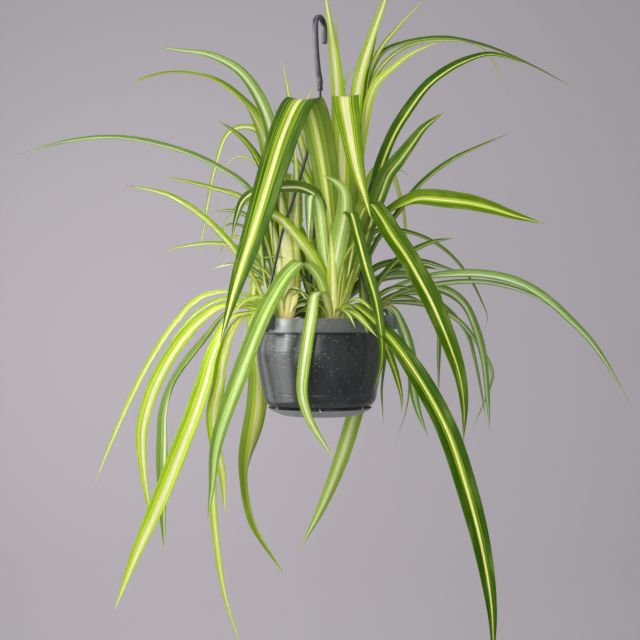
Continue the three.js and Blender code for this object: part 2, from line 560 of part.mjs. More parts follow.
    leaves: [
      // Tall leaves
      [18, 0, [26, 36, 100], [24, 38, 200], [20, 42, 280], [14, 46, 330], [5, 50, 388]],
      [18, 60, [33, 36, 100], [38, 38, 190], [46, 40, 275], [59, 44, 324], [76, 48, 374],
       [86, 52, 405]],
      [10, 25, [22, 44, 150], [21, 46, 280], [20, 50, 362]],
      [9, 40, [42, 40, 120], [50, 42, 225], [58, 46, 290], [69, 50, 348]],
      [15, 60, [38, 36, 120], [50, 38, 215], [64, 40, 272], [87, 45, 296], [110, 49, 313],
       [140, 54, 326]],
      [9, 55, [34, 56, 150], [50, 66, 260], [67, 74, 310], [90, 86, 341], [125, 100, 378]],
      [9, 60, [-2, 50, 90], [-14, 52, 170], [-33, 56, 245], [-45, 62, 307]],
      [7, 0, [-8, 58, 100], [-17, 62, 200], [-17, 66, 250], [-5, 72, 280]],
      [9, 10, [20, 70, 120], [26, 76, 220], [30, 80, 278], [40, 84, 294], [52, 88, 288]],
      [14, 0, [-2, 62, 100], [-4, 80, 190], [-8, 104, 240], [-12, 130, 262]],
      [14, 0, [20, 64, 110], [24, 84, 190], [28, 110, 244], [30, 138, 272]],
      // Arches to the right, behind the first row
      [9, 42, [36, 62, 150], [54, 72, 270], [72, 80, 311], [100, 90, 324], [145, 100, 330],
       [190, 108, 322], [240, 114, 302], [303, 118, 269]],
      [7, 50, [40, 74, 170], [62, 90, 280], [100, 110, 319], [150, 124, 327], [186, 130, 321],
       [202, 132, 304], [221, 134, 262]],
      [13, 60, [26, 66, 80], [54, 86, 150], [68, 92, 176], [80, 96, 176], [90, 100, 152],
       [97, 103, 125], [100, 104, 98], [103, 104, 70]],
      [6, 40, [34, 78, 110], [70, 104, 172], [94, 112, 175], [113, 116, 162]],
      [10, 50, [28, 58, 20], [48, 54, 45], [68, 52, 62], [92, 54, 68], [120, 56, 68],
       [140, 58, 63], [167, 60, 55]],
      [9, 50, [30, 66, 14], [66, 68, 18], [100, 70, 20], [130, 72, 15], [162, 74, -2],
       [186, 76, -32], [201, 77, -62], [197, 78, -82], [179, 78, -126]],
      [10, 50, [26, 66, 14], [60, 80, 16], [90, 88, 29], [120, 92, 30], [150, 98, 10],
       [170, 100, -14], [180, 100, -45], [195, 100, -118]],
      [13, 60, [36, 68, 26], [66, 82, 46], [96, 92, 52], [122, 96, 48], [136, 98, 30],
       [138, 98, -10], [138, 98, -45], [139, 98, -90]],
      // Arches to the back
      [20, 0, [14, 72, 14], [32, 88, 8], [46, 94, -36], [47, 94, -85], [38, 92, -120],
       [24, 90, -165], [4, 88, -215], [-23, 86, -268]],
      [18, 0, [4, 60, 60], [0, 90, 120], [-4, 130, 130], [-8, 165, 90], [-10, 185, 20],
       [-12, 192, -60]],
      [17, 0, [26, 64, 70], [34, 100, 140], [42, 140, 150], [50, 175, 110], [54, 195, 40],
       [54, 200, -40]],
      [15, 0, [-10, 72, 40], [-24, 104, 62], [-36, 130, 40], [-42, 146, -10], [-44, 152, -80]],
      [14, 0, [16, 80, 30], [22, 108, 36], [26, 128, 10], [26, 138, -40], [24, 142, -95]],
      [17, 0, [-10, 70, 60], [-30, 110, 110], [-52, 150, 112], [-70, 186, 70], [-80, 206, 0],
       [-84, 214, -90]],
      [16, 0, [24, 90, 100], [34, 130, 160], [44, 170, 170], [52, 204, 130], [56, 222, 70],
       [56, 228, 10]],
    ],
  },
];

// A crown: its leaves, joined with the short stub in the soil that they grow from
function crownSolid({ place, leaves }) {
  const stub = rod(STUB_RADIUS, STUB_BOTTOM, STUB_TOP, ...place, 10, STUB_RADIUS * 0.6);
  return filled(join([stub, ...leaves.map((leaf) => blade(place, leaf))]));
}

// The scene graph

const plant = new THREE.Group();
plant.position.z = -HANG;

function addPart(name, solid, color, roughness) {
  const material = new THREE.MeshStandardMaterial({ color, roughness, metalness: 0 });
  material.side = THREE.DoubleSide;
  const mesh = new THREE.Mesh(toGeometry(solid), material);
  mesh.name = name;
  plant.add(mesh);
}

const PLASTIC = 0x3c4143;
addPart('pot', pot(), PLASTIC, 0.5);
addPart('saucer', saucer(), PLASTIC, 0.5);
addPart('potting_soil', soil(CROWNS), 0x2b1f17, 0.95);
addPart('hook', hook(), 0x2a2e31, 0.45);
for (const name of Object.keys(EAR_ANGLES)) {
  addPart(`hanger_arm_${name}`, arm(name), 0x4a5056, 0.45);
}
for (const crown of CROWNS) {
  addPart(crown.name, crownSolid(crown), crown.color, 0.55);
}

const root = new THREE.Group();
root.add(plant);
export default root;
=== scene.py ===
# %% [markdown]
# # A spider plant in a hanging pot
# The object is a striped, grassy house plant in a dark nursery pot, with a saucer clipped on and
# a plastic hook to hang it by. The CAD part holds the sizes and places. This file loads it, then
# puts a finer piece over each CAD node, in the same place, and gives each a procedural finish.

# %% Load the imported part
import math

import bmesh
import bpy
import numpy as np
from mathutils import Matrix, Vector


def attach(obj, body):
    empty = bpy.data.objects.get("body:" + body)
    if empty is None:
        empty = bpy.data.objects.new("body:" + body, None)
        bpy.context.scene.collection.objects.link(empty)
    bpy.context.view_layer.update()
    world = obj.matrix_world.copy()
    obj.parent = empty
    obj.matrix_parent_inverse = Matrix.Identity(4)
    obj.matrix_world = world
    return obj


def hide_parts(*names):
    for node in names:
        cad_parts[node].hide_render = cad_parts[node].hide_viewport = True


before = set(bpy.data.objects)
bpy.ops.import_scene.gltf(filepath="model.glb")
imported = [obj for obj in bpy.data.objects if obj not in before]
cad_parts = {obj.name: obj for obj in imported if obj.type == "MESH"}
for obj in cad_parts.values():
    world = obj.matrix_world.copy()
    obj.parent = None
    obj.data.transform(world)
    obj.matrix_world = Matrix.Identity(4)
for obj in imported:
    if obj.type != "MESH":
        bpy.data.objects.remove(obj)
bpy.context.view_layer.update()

# %% [markdown]
# ## The camera
# The pot's rim is seen edge-on halfway up the picture, so the camera is level with the rim. It
# stands 1.12 m in front of the pot. The lens makes the rim as wide as it is in the picture.

# %% Camera
HANG = 352.0
VIEW_DISTANCE = 1120.0
SENSOR_WIDTH = 36.0
LENS = 53.8


def metres(points):
    """Points in millimetres from the middle of the rim, as metres from the hook."""
    return (np.asarray(points, float) - (0.0, 0.0, HANG)) / 1000.0


scene = bpy.context.scene
camera = bpy.data.objects.new("camera", bpy.data.cameras.new("camera"))
scene.collection.objects.link(camera)
scene.camera = camera
camera.location = metres((0.0, -VIEW_DISTANCE, 0.0))
camera.rotation_euler = (math.pi / 2, 0.0, 0.0)
camera.data.sensor_width = SENSOR_WIDTH
camera.data.lens = LENS
print("camera", tuple(round(value, 3) for value in camera.location))

# %% [markdown]
# ## Words for shader nodes
# A finish in Blender is a small network of nodes. In the editor they are wired by hand. In a
# script it is quicker to have one short word for each kind of node that is used often.

# %% Helpers for materials
def node(tree, kind, inputs=(), **settings):
    """Adds a shader node. An input is a value, or a socket that is then linked."""
    made = tree.nodes.new("ShaderNode" + kind)
    for key, value in settings.items():
        setattr(made, key, value)
    for key, value in dict(inputs).items():
        if isinstance(value, bpy.types.NodeSocket):
            tree.links.new(value, made.inputs[key])
        else:
            made.inputs[key].default_value = value
    return made


def mix(share, one, other):
    """One colour where the share is 0, the other where it is 1."""
    made = node(share.id_data, "Mix", {0: share, 6: one, 7: other}, data_type="RGBA")
    return made.outputs[2]


def noise(place, scale, detail=2.0, rough=0.5):
    made = node(place.id_data, "TexNoise",
                {"Vector": place, "Scale": scale, "Detail": detail, "Roughness": rough})
    return made.outputs[0]


def new_material(name):
    material = bpy.data.materials.new(name)
    material.use_nodes = True
    tree = material.node_tree
    return material, tree, tree.nodes["Principled BSDF"]


def linear(red, green, blue):
    """A colour as an artist picks it, 0 to 255, as the linear values that shaders use."""
    values = [channel / 255.0 for channel in (red, green, blue)]
    return (*(v / 12.92 if v <= 0.04045 else ((v + 0.055) / 1.055) ** 2.4 for v in values), 1.0)


# %% [markdown]
# ## The backdrop
# A product photographer hangs a plant in front of a wide paper roll that curves from wall to
# floor, so no edge shows. It can be modelled as a sheet with one smooth bend. A very faint noise
# keeps the paper from being one flat tone.

# %% Paper backdrop
def backdrop():
    """A wide sheet that runs from the floor up the wall in one smooth curve."""
    floor, wall, bend, reach, rise = -2.3, 2.6, 1.0, 5.0, 7.0
    turn = np.linspace(0.0, math.pi / 2, 25)
    depth = np.concatenate([[-reach], wall - bend + bend * np.sin(turn), [wall]])
    height = np.concatenate([[floor], floor + bend * (1 - np.cos(turn)), [floor + rise]])
    points = [(x, y, z) for y, z in zip(depth, height) for x in (-reach, reach)]
    faces = [(2 * i, 2 * i + 1, 2 * i + 3, 2 * i + 2) for i in range(len(depth) - 1)]
    mesh = bpy.data.meshes.new("backdrop")
    mesh.from_pydata(points, [], faces)
    mesh.polygons.foreach_set("use_smooth", [True] * len(faces))
    return bpy.data.objects.new("backdrop", mesh)


paper = backdrop()
scene.collection.objects.link(paper)
material, tree, shader = new_material("paper")
grain = node(tree, "TexNoise", {"Scale": 3.0, "Detail": 2.0}).outputs[0]
tree.links.new(mix(grain, linear(200, 195, 200), linear(204, 199, 204)),
               shader.inputs["Base Color"])
shader.inputs["Roughness"].default_value = 0.9
paper.data.materials.append(material)
print("paper backdrop", len(paper.data.polygons), "faces")

# %% [markdown]
# ## The lamps
# Large soft lamps at the left and in front light the leaves, a weak one on the right keeps the
# shadow side from going black, and one behind the plant lights the paper. The leaves need far
# more light than the pot, whose gloss would show each lamp as a white patch. So three lamps are
# left out of its reflections: the weak one, the strong one in front, and a narrow beam that
# brightens the foot of the crowns. The cards are the other way round. They show only as
# reflections, and give the pot its pale left side. Blender's standard view keeps the leaves as
# vivid as the finish makes them, where its film-like view greys them.

# %% Lamps
AIM = (0.0, 0.0, -0.33)


def soft_lamp(name, place, size, power, colour, aim=AIM):
    data = bpy.data.lights.new(name, "AREA")
    data.shape = "RECTANGLE"
    data.size, data.size_y = size
    data.energy = power
    data.color = colour
    lamp = bpy.data.objects.new(name, data)
    lamp.location = place
    lamp.rotation_euler = (Vector(aim) - Vector(place)).to_track_quat("-Z", "Y").to_euler()
    scene.collection.objects.link(lamp)
    return lamp


soft_lamp("key", (-1.6, -0.2, -0.45), (1.8, 2.2), 16.5, (1.0, 0.98, 0.93))
soft_lamp("front_left", (-1.05, -1.35, -0.05), (0.7, 1.5), 8.0, (1.0, 0.98, 0.94))
soft_lamp("front", (-0.22, -1.75, 0.1), (0.25, 1.4), 3.5, (1.0, 0.99, 0.96))
soft_lamp("high_front", (-0.5, -1.4, 1.0), (1.2, 0.8), 11.0, (1.0, 0.98, 0.93))
fill = soft_lamp("fill", (1.3, -0.9, 0.1), (1.0, 1.4), 4.0, (0.98, 0.98, 1.0))
soft_lamp("top", (0.0, -0.1, 1.2), (1.4, 1.2), 5.0, (1.0, 1.0, 0.97))
soft_lamp("paper_light", (-1.2, 0.6, -0.4), (2.2, 1.6), 12.0, (1.0, 0.97, 1.0), (-0.4, 2.6, -0.8))
face_light = soft_lamp("face_light", (-0.2, -1.6, -0.25), (0.9, 0.8), 17.0, (1.0, 0.99, 0.96))
crown_light = soft_lamp("crown_light", (-0.15, -1.5, -0.2), (0.2, 0.2), 0.10, (1.0, 0.97, 0.90),
                        (-0.07, 0.0, -0.32))
crown_light.data.spread = math.radians(9)
for lamp in (fill, face_light, crown_light):
    lamp.visible_glossy = False

# %% Cards and air
CARDS = {"tall_card": ((-1.7, 0.15, -0.45), (2.5, 2.2), 23.0),
         "high_card": ((-1.7, 0.15, 0.0), (2.5, 0.8), 8.0),
         "streak_card": ((-1.37, -0.61, 0.12), (0.10, 1.1), 5.0)}
for name, (place, size, power) in CARDS.items():
    soft_lamp(name, place, size, power, (0.95, 0.98, 1.0)).visible_diffuse = False

world = bpy.data.worlds.new("studio_air")
world.use_nodes = True
air = world.node_tree.nodes["Background"].inputs
air["Color"].default_value = linear(196, 198, 203)
air["Strength"].default_value = 0.50
scene.world = world
scene.view_settings.view_transform = "Standard"

# %% [markdown]
# ## The path of a leaf
# A spider plant's leaf leaves its crown almost upright and then bends over in one long arch. A
# smooth curve through a few points gives that arch. The points are written as they look from the
# camera, because that is how a leaf is easiest to place. A deeper point looks smaller from
# there, so it is moved out again to its real place.

# %% Curves in millimetres
def from_view(point):
    """The real place of a point that is given as the camera sees it."""
    across, depth, height = point
    scale = 1.0 + depth / VIEW_DISTANCE
    return np.array([across * scale, depth, height * scale])


def smooth_path(points, per_span=24):
    """A curve through all the points that doesn't overshoot where they lie unevenly."""
    points = [np.asarray(point, float) for point in points]
    points = [2 * points[0] - points[1], *points, 2 * points[-1] - points[-2]]
    share = np.linspace(0.0, 1.0, per_span, endpoint=False)[:, None]
    made = []
    for before, start, end, after in zip(points, points[1:], points[2:], points[3:]):
        gap_in, gap, gap_out = (
            math.sqrt(max(float(np.linalg.norm(b - a)), 1e-6))
            for a, b in ((before, start), (start, end), (end, after)))
        leave = (start - before) / gap_in - (end - before) / (gap_in + gap) + (end - start) / gap
        arrive = (end - start) / gap - (after - start) / (gap + gap_out) + (after - end) / gap_out
        leave, arrive = leave * gap, arrive * gap
        made.append(start + leave * share + (3 * (end - start) - 2 * leave - arrive) * share ** 2
                    + (2 * (start - end) + leave + arrive) * share ** 3)
    return np.concatenate([*made, points[-2][None]])


def even_steps(path, step):
    """The same path with points about one step apart, and its length."""
    lengths = np.concatenate([[0.0], np.cumsum(np.linalg.norm(np.diff(path, axis=0), axis=1))])
    count = max(int(lengths[-1] / step), 8)
    at = np.linspace(0.0, lengths[-1], count)
    stepped = [np.interp(at, lengths, path[:, axis]) for axis in range(3)]
    return np.stack(stepped, axis=1), lengths[-1]


def unit(vectors):
    return vectors / np.linalg.norm(vectors, axis=-1, keepdims=True)


def smoothstep(values, low, high):
    share = np.clip((np.asarray(values, float) - low) / (high - low), 0.0, 1.0)
    return share * share * (3.0 - 2.0 * share)


print("a point seen at 100 mm, 50 mm deep, is at", from_view([100, 50, 0]).round(1), "mm")

# %% [markdown]
# ## The plant's leaves
# The plant grows from five crowns. Each row below is one leaf: how it is striped, its width, how
# far its upper face is rolled to the front, then points from the crown to the tip as across,
# depth and height. Two rolls are one for the leaf's first half and one for its tip. The leaves
# are placed one by one, because the way this one plant falls is its likeness.
#
# New leaves keep coming up between the old ones, so the foot of the plant is a thicket. They are
# too small to matter to the CAD part, but without them the light would shine through under the
# arches, where the real plant is closed. They come last in each crown.

# %% The middle crown
CROWNS = {}
CROWNS["crown_centre"] = (18, -14), [
    # Broad leaves that rise, bend at a knee and hang in front
    ["knee", 32, 0, [16, -26, 70], [10, -44, 145], [0, -70, 210], [-8, -86, 243], [-14, -96, 256],
     [-20, -107, 258], [-27, -118, 250], [-41, -124, 218], [-57, -127, 168], [-67, -129, 135],
     [-81, -131, 91], [-96, -132, 46], [-117, -130, -27]],
    ["banded", 30, 0, [24, -18, 80], [27, -32, 160], [29, -56, 230], [29, -72, 258],
     [30, -80, 262], [31, -87, 249], [35, -92, 225], [39, -97, 200], [44, -100, 175],
     [51, -103, 150], [60, -106, 118]],
    ["silver", 22, 0, [14, -34, 40], [22, -44, 90], [29, -52, 130], [27, -58, 152], [16, -62, 163],
     [4, -66, 169]],
    ["silver", 15, 0, [5, -40, 80], [-4, -56, 138], [-11, -64, 146], [-13, -68, 122],
     [-14, -68, 91]],
    ["dark", 13, 0, [28, -28, 60], [31, -46, 115], [36, -56, 126], [44, -66, 100], [54, -78, 62],
     [66, -88, 20], [73, -92, -38], [69, -92, -64], [63, -92, -81]],
    # Tall leaves
    ["mixed", 12, 30, [7, 2, 80], [-6, 8, 140], [-21, 16, 172], [-40, 26, 202], [-55, 32, 255]],
    # Arches to the right
    ["dark", 15, 65, [46, -4, 70], [58, -8, 130], [66, -10, 158], [73, -12, 184], [87, -16, 218],
     [105, -21, 247], [124, -25, 272], [143, -28, 288], [165, -31, 301], [195, -34, 311],
     [215, -35, 309], [242, -36, 300]],
    ["deep", 22, 75, [44, -28, 60], [60, -28, 118], [71, -28, 148], [80, -29, 171], [94, -32, 188],
     [109, -36, 208], [122, -40, 225], [146, -44, 244]],
    ["lined", 22, [25, 80], [40, -28, 50], [52, -29, 98], [70, -27, 119], [84, -29, 128],
     [100, -33, 136], [115, -36, 142], [140, -42, 141], [160, -46, 139], [175, -49, 137],
     [200, -54, 131], [225, -57, 123], [262, -60, 113]],
    ["dark", 22, 0, [36, -26, 70], [47, -42, 120], [58, -54, 136], [71, -64, 121], [84, -72, 100],
     [102, -79, 74], [118, -86, 46], [132, -90, 19], [147, -93, -16], [155, -94, -37],
     [162, -95, -58], [167, -96, -82], [169, -96, -106], [168, -95, -143]],
    # Arches to the left
    ["deep", 15, 70, [8, -34, 90], [0, -44, 140], [-20, -52, 154], [-45, -58, 155],
     [-72, -62, 152], [-90, -64, 140], [-98, -64, 120], [-104, -64, 92]],
    ["pale", 17, 75, [10, -30, 30], [-5, -44, 66], [-30, -58, 99], [-55, -68, 123],
     [-72, -74, 120], [-84, -76, 104]],
    # Leaves that hang over the rim in front
    ["plain", 18, 0, [8, -40, 22], [-2, -58, 50], [-20, -80, 67], [-34, -88, 58], [-62, -98, 14],
     [-96, -108, -70], [-121, -114, -145], [-127, -114, -200], [-132, -110, -234]],
    ["frosted", 13, 0, [8, -40, 20], [2, -58, 32], [-6, -72, 28], [-10, -84, 4], [-19, -92, -55],
     [-21, -94, -85], [-13, -94, -115], [18, -92, -165]],
    ["dark", 22, 0, [27, -32, 10], [36, -48, 18], [52, -64, 8], [92, -98, -34], [144, -134, -120],
     [172, -152, -200], [190, -160, -270], [201, -164, -340], [203, -164, -404]],
    ["dark", 9, 0, [40, -30, 14], [60, -45, 14], [74, -52, -22], [88, -54, -60], [95, -54, -88],
     [96, -54, -108]],
    ["mixed", 9, 0, [21, -34, 6], [28, -52, 11], [42, -68, 6], [68, -80, -21]],
    ["mixed", 6, 0, [20, -34, 8], [24, -54, 12], [34, -78, 5], [42, -82, -10]],
    # Short young leaves
    ["deep", 7, 20, [4, -30, 12], [-8, -38, 24], [-24, -46, 34], [-38, -52, 36]],
    ["dark", 6, 20, [5, -22, 22], [-6, -26, 38], [-20, -30, 46], [-30, -34, 44]],
    ["dark", 6, 30, [4, -26, 8], [-12, -34, 19], [-26, -40, 17], [-35, -44, 6]],
    ["mixed", 7, 30, [6, -16, 10], [-8, -12, 24], [-22, -8, 28], [-36, -6, 18]],
    ["dark", 7, 0, [10, -6, 24], [2, 0, 46], [-8, 4, 60], [-20, 8, 60]],
    ["mixed", 8, 20, [22, -30, 36], [30, -36, 74], [44, -40, 96], [50, -42, 104]],
    ["dark", 8, 40, [30, -24, 26], [38, -26, 56], [52, -24, 84], [66, -20, 100]],
    ["mixed", 7, 20, [26, -20, 40], [32, -16, 84], [40, -12, 120]],
    ["pale", 8, 0, [14, -28, 40], [8, -30, 80], [4, -30, 112]],
    ["mixed", 6, 30, [30, -32, 14], [42, -44, 24], [56, -54, 16], [66, -62, -4]],
    ["pale", 6, 30, [26, -34, 10], [36, -48, 15], [48, -62, 4], [56, -70, -16]],
    ["bright", 10, 0, [12, -34, 40], [10, -38, 90], [8, -40, 138]],
    ["cream", 8, 0, [16, -36, 30], [15, -42, 70], [12, -44, 104]],
    ["deep", 9, 50, [8, -24, 18], [-6, -22, 26], [-22, -18, 24], [-36, -16, 10]],
    ["dark", 8, 50, [8, -20, 12], [-8, -16, 16], [-24, -12, 10], [-34, -8, 0]],
]
print("crown_centre", len(CROWNS["crown_centre"][1]), "leaves")

# %% The left crown
CROWNS["crown_left"] = (-42, -16), [
    # Tall leaves that arch to the left
    ["soft", 17, 52, [-44, -14, 80], [-52, -8, 170], [-64, -2, 240], [-90, 4, 286], [-112, 8, 302],
     [-135, 10, 311], [-162, 13, 315], [-192, 16, 320]],
    ["broad", 15, 60, [-50, -22, 60], [-56, -26, 130], [-70, -30, 180], [-92, -34, 213],
     [-120, -38, 234]],
    ["grey", 11, 38, [-64, -20, 40], [-70, -22, 100], [-82, -26, 150], [-125, -34, 181],
     [-175, -40, 201], [-240, -46, 213], [-300, -50, 208], [-358, -54, 192]],
    ["pale", 12, 50, [-62, -24, 16], [-84, -30, 56], [-110, -38, 92], [-140, -44, 121],
     [-175, -49, 144], [-200, -52, 152], [-228, -54, 158]],
    ["grey", 10, 50, [-58, -10, 70], [-78, -8, 115], [-100, -6, 127], [-130, -4, 127]],
    ["grey", 7, 45, [-56, -16, 30], [-76, -18, 57], [-100, -20, 65], [-128, -22, 60]],
    # Short leaves in the middle
    ["mixed", 7, 45, [-34, -22, 40], [-30, -28, 66], [-42, -30, 74], [-72, -32, 72]],
    ["pale", 7, 20, [-38, -30, 28], [-30, -40, 38], [-14, -48, 22]],
    ["pale", 9, 0, [-32, -6, 80], [-28, 2, 150], [-30, 10, 215]],
    # Low arches that hang to the left of the pot
    ["soft", 20, [28, 60], [-60, -12, 6], [-84, -10, 14], [-100, -9, 13], [-112, -8, 5],
     [-131, -6, -20], [-146, -5, -39], [-159, -4, -56], [-170, -3, -73], [-177, -2, -92],
     [-181, -2, -112], [-182, -2, -140], [-183, -2, -170], [-183, -2, -220], [-182, -2, -275]],
    ["bright", 21, 58, [-60, -26, 6], [-84, -36, 6], [-103, -42, 2], [-113, -44, -10],
     [-119, -46, -25], [-127, -47, -46], [-133, -48, -69], [-140, -49, -91], [-148, -50, -114],
     [-157, -51, -137], [-167, -52, -163], [-188, -54, -215], [-215, -56, -275],
     [-241, -58, -341]],
    ["bright", 15, 55, [-58, -22, 4], [-78, -28, 8], [-98, -32, -6], [-111, -34, -36],
     [-118, -34, -75], [-125, -34, -110], [-122, -34, -145], [-114, -34, -180], [-111, -34, -230]],
    ["bright", 11, 55, [-58, -14, 4], [-78, -16, 10], [-98, -18, -8], [-109, -18, -42],
     [-116, -18, -92], [-123, -18, -150], [-124, -18, -210], [-119, -18, -270], [-110, -18, -325],
     [-91, -18, -387]],
    # Short young leaves
    ["cream", 16, 0, [-37, -30, 20], [-37, -32, 60], [-41, -32, 105], [-46, -30, 150]],
    ["cream", 14, 0, [-32, -28, 20], [-31, -28, 60], [-29, -26, 105], [-26, -24, 142]],
    ["cream", 12, 0, [-43, -28, 20], [-47, -30, 60], [-54, -30, 100], [-62, -28, 130]],
    ["pale", 9, 0, [-40, -20, 50], [-36, -22, 100], [-28, -24, 136]],
    ["pale", 10, 0, [-46, -18, 60], [-48, -16, 120], [-44, -14, 168]],
    ["pale", 9, 20, [-38, -12, 50], [-30, -8, 90], [-18, -4, 120]],
    ["bright", 9, 30, [-52, -22, 40], [-60, -24, 84], [-72, -26, 118]],
    ["bright", 7, 40, [-52, -28, 8], [-62, -36, 14], [-76, -42, 8], [-84, -46, -10]],
    ["bright", 7, 40, [-54, -24, 14], [-70, -30, 26], [-88, -36, 22], [-104, -40, 4]],
    ["mixed", 6, 30, [-36, -24, 16], [-26, -30, 34], [-14, -34, 36]],
    ["pale", 8, 30, [-44, -26, 20], [-54, -34, 44], [-70, -40, 62], [-86, -44, 66]],
]
print("crown_left", len(CROWNS["crown_left"][1]), "leaves")

# %% The crown at the rear left
CROWNS["crown_rear_left"] = (-44, 34), [
    # Arches to the left, behind the first row
    ["mixed", 22, [65, 12], [-46, 36, 70], [-54, 40, 150], [-66, 44, 215], [-88, 50, 252],
     [-125, 56, 281], [-175, 62, 290], [-226, 66, 277]],
    ["mixed", 9, 50, [-54, 30, 60], [-70, 28, 115], [-88, 30, 140], [-130, 32, 155],
     [-190, 34, 170]],
    ["pale", 9, 60, [-52, 42, 100], [-58, 52, 170], [-66, 60, 214], [-82, 64, 225],
     [-102, 68, 222], [-111, 70, 212], [-120, 73, 185], [-126, 75, 162], [-131, 77, 135],
     [-136, 78, 105], [-144, 80, 62]],
    ["pale", 9, 42, [-62, 44, 50], [-96, 52, 83], [-125, 56, 89], [-164, 60, 85], [-187, 62, 79]],
    ["pale", 6, 50, [-66, 50, 60], [-100, 62, 98], [-114, 66, 86], [-118, 68, 62]],
    # Low arches that hang to the left of the pot
    ["bright", 11, 55, [-62, 40, 16], [-82, 46, 27], [-110, 52, 32], [-140, 58, 25],
     [-170, 62, -6], [-200, 66, -52], [-238, 70, -130], [-265, 72, -195]],
    ["bright", 8, 45, [-60, 34, 12], [-84, 38, 20], [-112, 42, 24], [-140, 46, 11],
     [-178, 50, -28]],
    ["bright", 19, 60, [-60, 28, 8], [-86, 26, 17], [-104, 26, 17], [-120, 26, 12], [-139, 26, -1],
     [-154, 27, -16], [-171, 29, -39], [-184, 30, -61], [-194, 31, -82], [-202, 32, -106],
     [-207, 32, -129], [-207, 32, -157], [-204, 32, -190], [-196, 32, -240]],
    ["banded", 25, [0, 72], [-50, 41, 12], [-60, 45, 22], [-70, 48, 12], [-74, 48, -10],
     [-75, 48, -40], [-73, 47, -63], [-74, 46, -91], [-77, 45, -119], [-81, 44, -144],
     [-85, 43, -166], [-86, 42, -185], [-84, 42, -207], [-76, 40, -240], [-44, 38, -295]],
    # Arches to the back
    ["mixed", 16, 0, [-48, 56, 50], [-50, 90, 90], [-52, 124, 84], [-54, 150, 40], [-54, 162, -20],
     [-52, 166, -90]],
    ["mixed", 18, 0, [-38, 60, 80], [-34, 96, 150], [-30, 140, 170], [-28, 180, 140],
     [-26, 206, 80], [-24, 214, 10]],
    # Short young leaves
    ["soft", 7, 40, [-52, 36, 60], [-66, 36, 116], [-86, 36, 138], [-106, 36, 122],
     [-116, 36, 90]],
    ["pale", 8, 40, [-50, 34, 90], [-60, 34, 150], [-78, 34, 186], [-100, 34, 190],
     [-118, 34, 166]],
    ["grey", 7, 40, [-54, 38, 50], [-76, 42, 98], [-104, 44, 112], [-130, 44, 92]],
    ["mixed", 8, 40, [-50, 34, 20], [-66, 34, 42], [-88, 34, 52], [-108, 34, 46]],
    ["soft", 9, 20, [-44, 30, 50], [-40, 28, 96], [-34, 28, 134]],
    ["pale", 8, 40, [-54, 32, 34], [-72, 30, 72], [-94, 30, 96]],
]
print("crown_rear_left", len(CROWNS["crown_rear_left"][1]), "leaves")

# %% The right crown
CROWNS["crown_right"] = (52, 18), [
    # Arches to the right
    ["deep", 10, 45, [52, 10, 45], [64, 6, 85], [90, 2, 122], [118, -4, 158], [155, -8, 187],
     [222, -12, 219]],
    ["deep", 11, 50, [62, 8, 28], [76, 0, 52], [92, -6, 70], [112, -10, 82], [132, -12, 91],
     [157, -14, 96]],
    ["deep", 11, 45, [62, 16, 30], [76, 18, 53], [96, 20, 62], [118, 22, 62], [142, 24, 59]],
    ["grey", 13, 50, [64, 6, 20], [88, 0, 38], [130, -6, 50], [160, -10, 53], [185, -13, 53],
     [212, -16, 49], [232, -17, 43], [250, -18, 34], [268, -19, 21], [285, -20, 6],
     [320, -20, -30], [362, -20, -95]],
    ["grey", 9, 42, [66, 12, 14], [88, 16, 29], [125, 22, 39], [180, 28, 44], [225, 32, 37],
     [265, 36, 20], [302, 38, -9]],
    ["deep", 7, 50, [54, 26, 60], [62, 30, 101], [88, 36, 105], [122, 44, 96], [150, 50, 78],
     [172, 54, 53], [188, 56, 24], [196, 57, 2], [191, 58, -13]],
    ["grey", 14, 62, [76, 30, 18], [108, 38, 36], [142, 44, 35], [166, 48, 20], [180, 50, -8],
     [190, 50, -45], [195, 50, -88], [199, 50, -133]],
    # Leaves that hang to the right of the pot
    ["grey", 12, 60, [74, 12, 14], [84, 10, 14], [97, 6, -10], [106, 4, -42], [108, 2, -78],
     [115, 2, -108], [127, 2, -137]],
    ["grey", 4, 20, [66, 24, 14], [84, 24, 8], [92, 20, -8], [101, 18, -45], [104, 16, -80],
     [99, 16, -112], [88, 16, -142]],
    ["grey", 7, 60, [68, 30, 12], [77, 38, 0], [76, 40, -40], [72, 40, -80], [74, 40, -122]],
    # Arches to the back
    ["dark", 17, 0, [50, 48, 50], [50, 84, 90], [52, 118, 86], [54, 144, 46], [54, 158, -10],
     [52, 164, -80]],
    ["dark", 13, 0, [56, 40, 22], [60, 70, 30], [62, 96, 10], [62, 110, -30], [60, 116, -85]],
    # Short young leaves
    ["deep", 8, 40, [60, 6, 16], [74, -2, 32], [94, -8, 38], [116, -12, 34]],
    ["deep", 8, 30, [50, 6, 30], [48, 0, 66], [42, -6, 92]],
    ["dark", 7, 40, [62, 22, 14], [80, 24, 24], [104, 26, 26], [130, 28, 14]],
    ["grey", 6, 50, [66, 14, 8], [78, 12, 10], [90, 10, -6], [98, 8, -34]],
    ["dried", 1.6, 20, [66, -14, 4], [76, -26, 14], [84, -32, 20], [80, -34, 24], [75, -33, 19],
     [80, -32, 12], [86, -32, 10]],
]
print("crown_right", len(CROWNS["crown_right"][1]), "leaves")

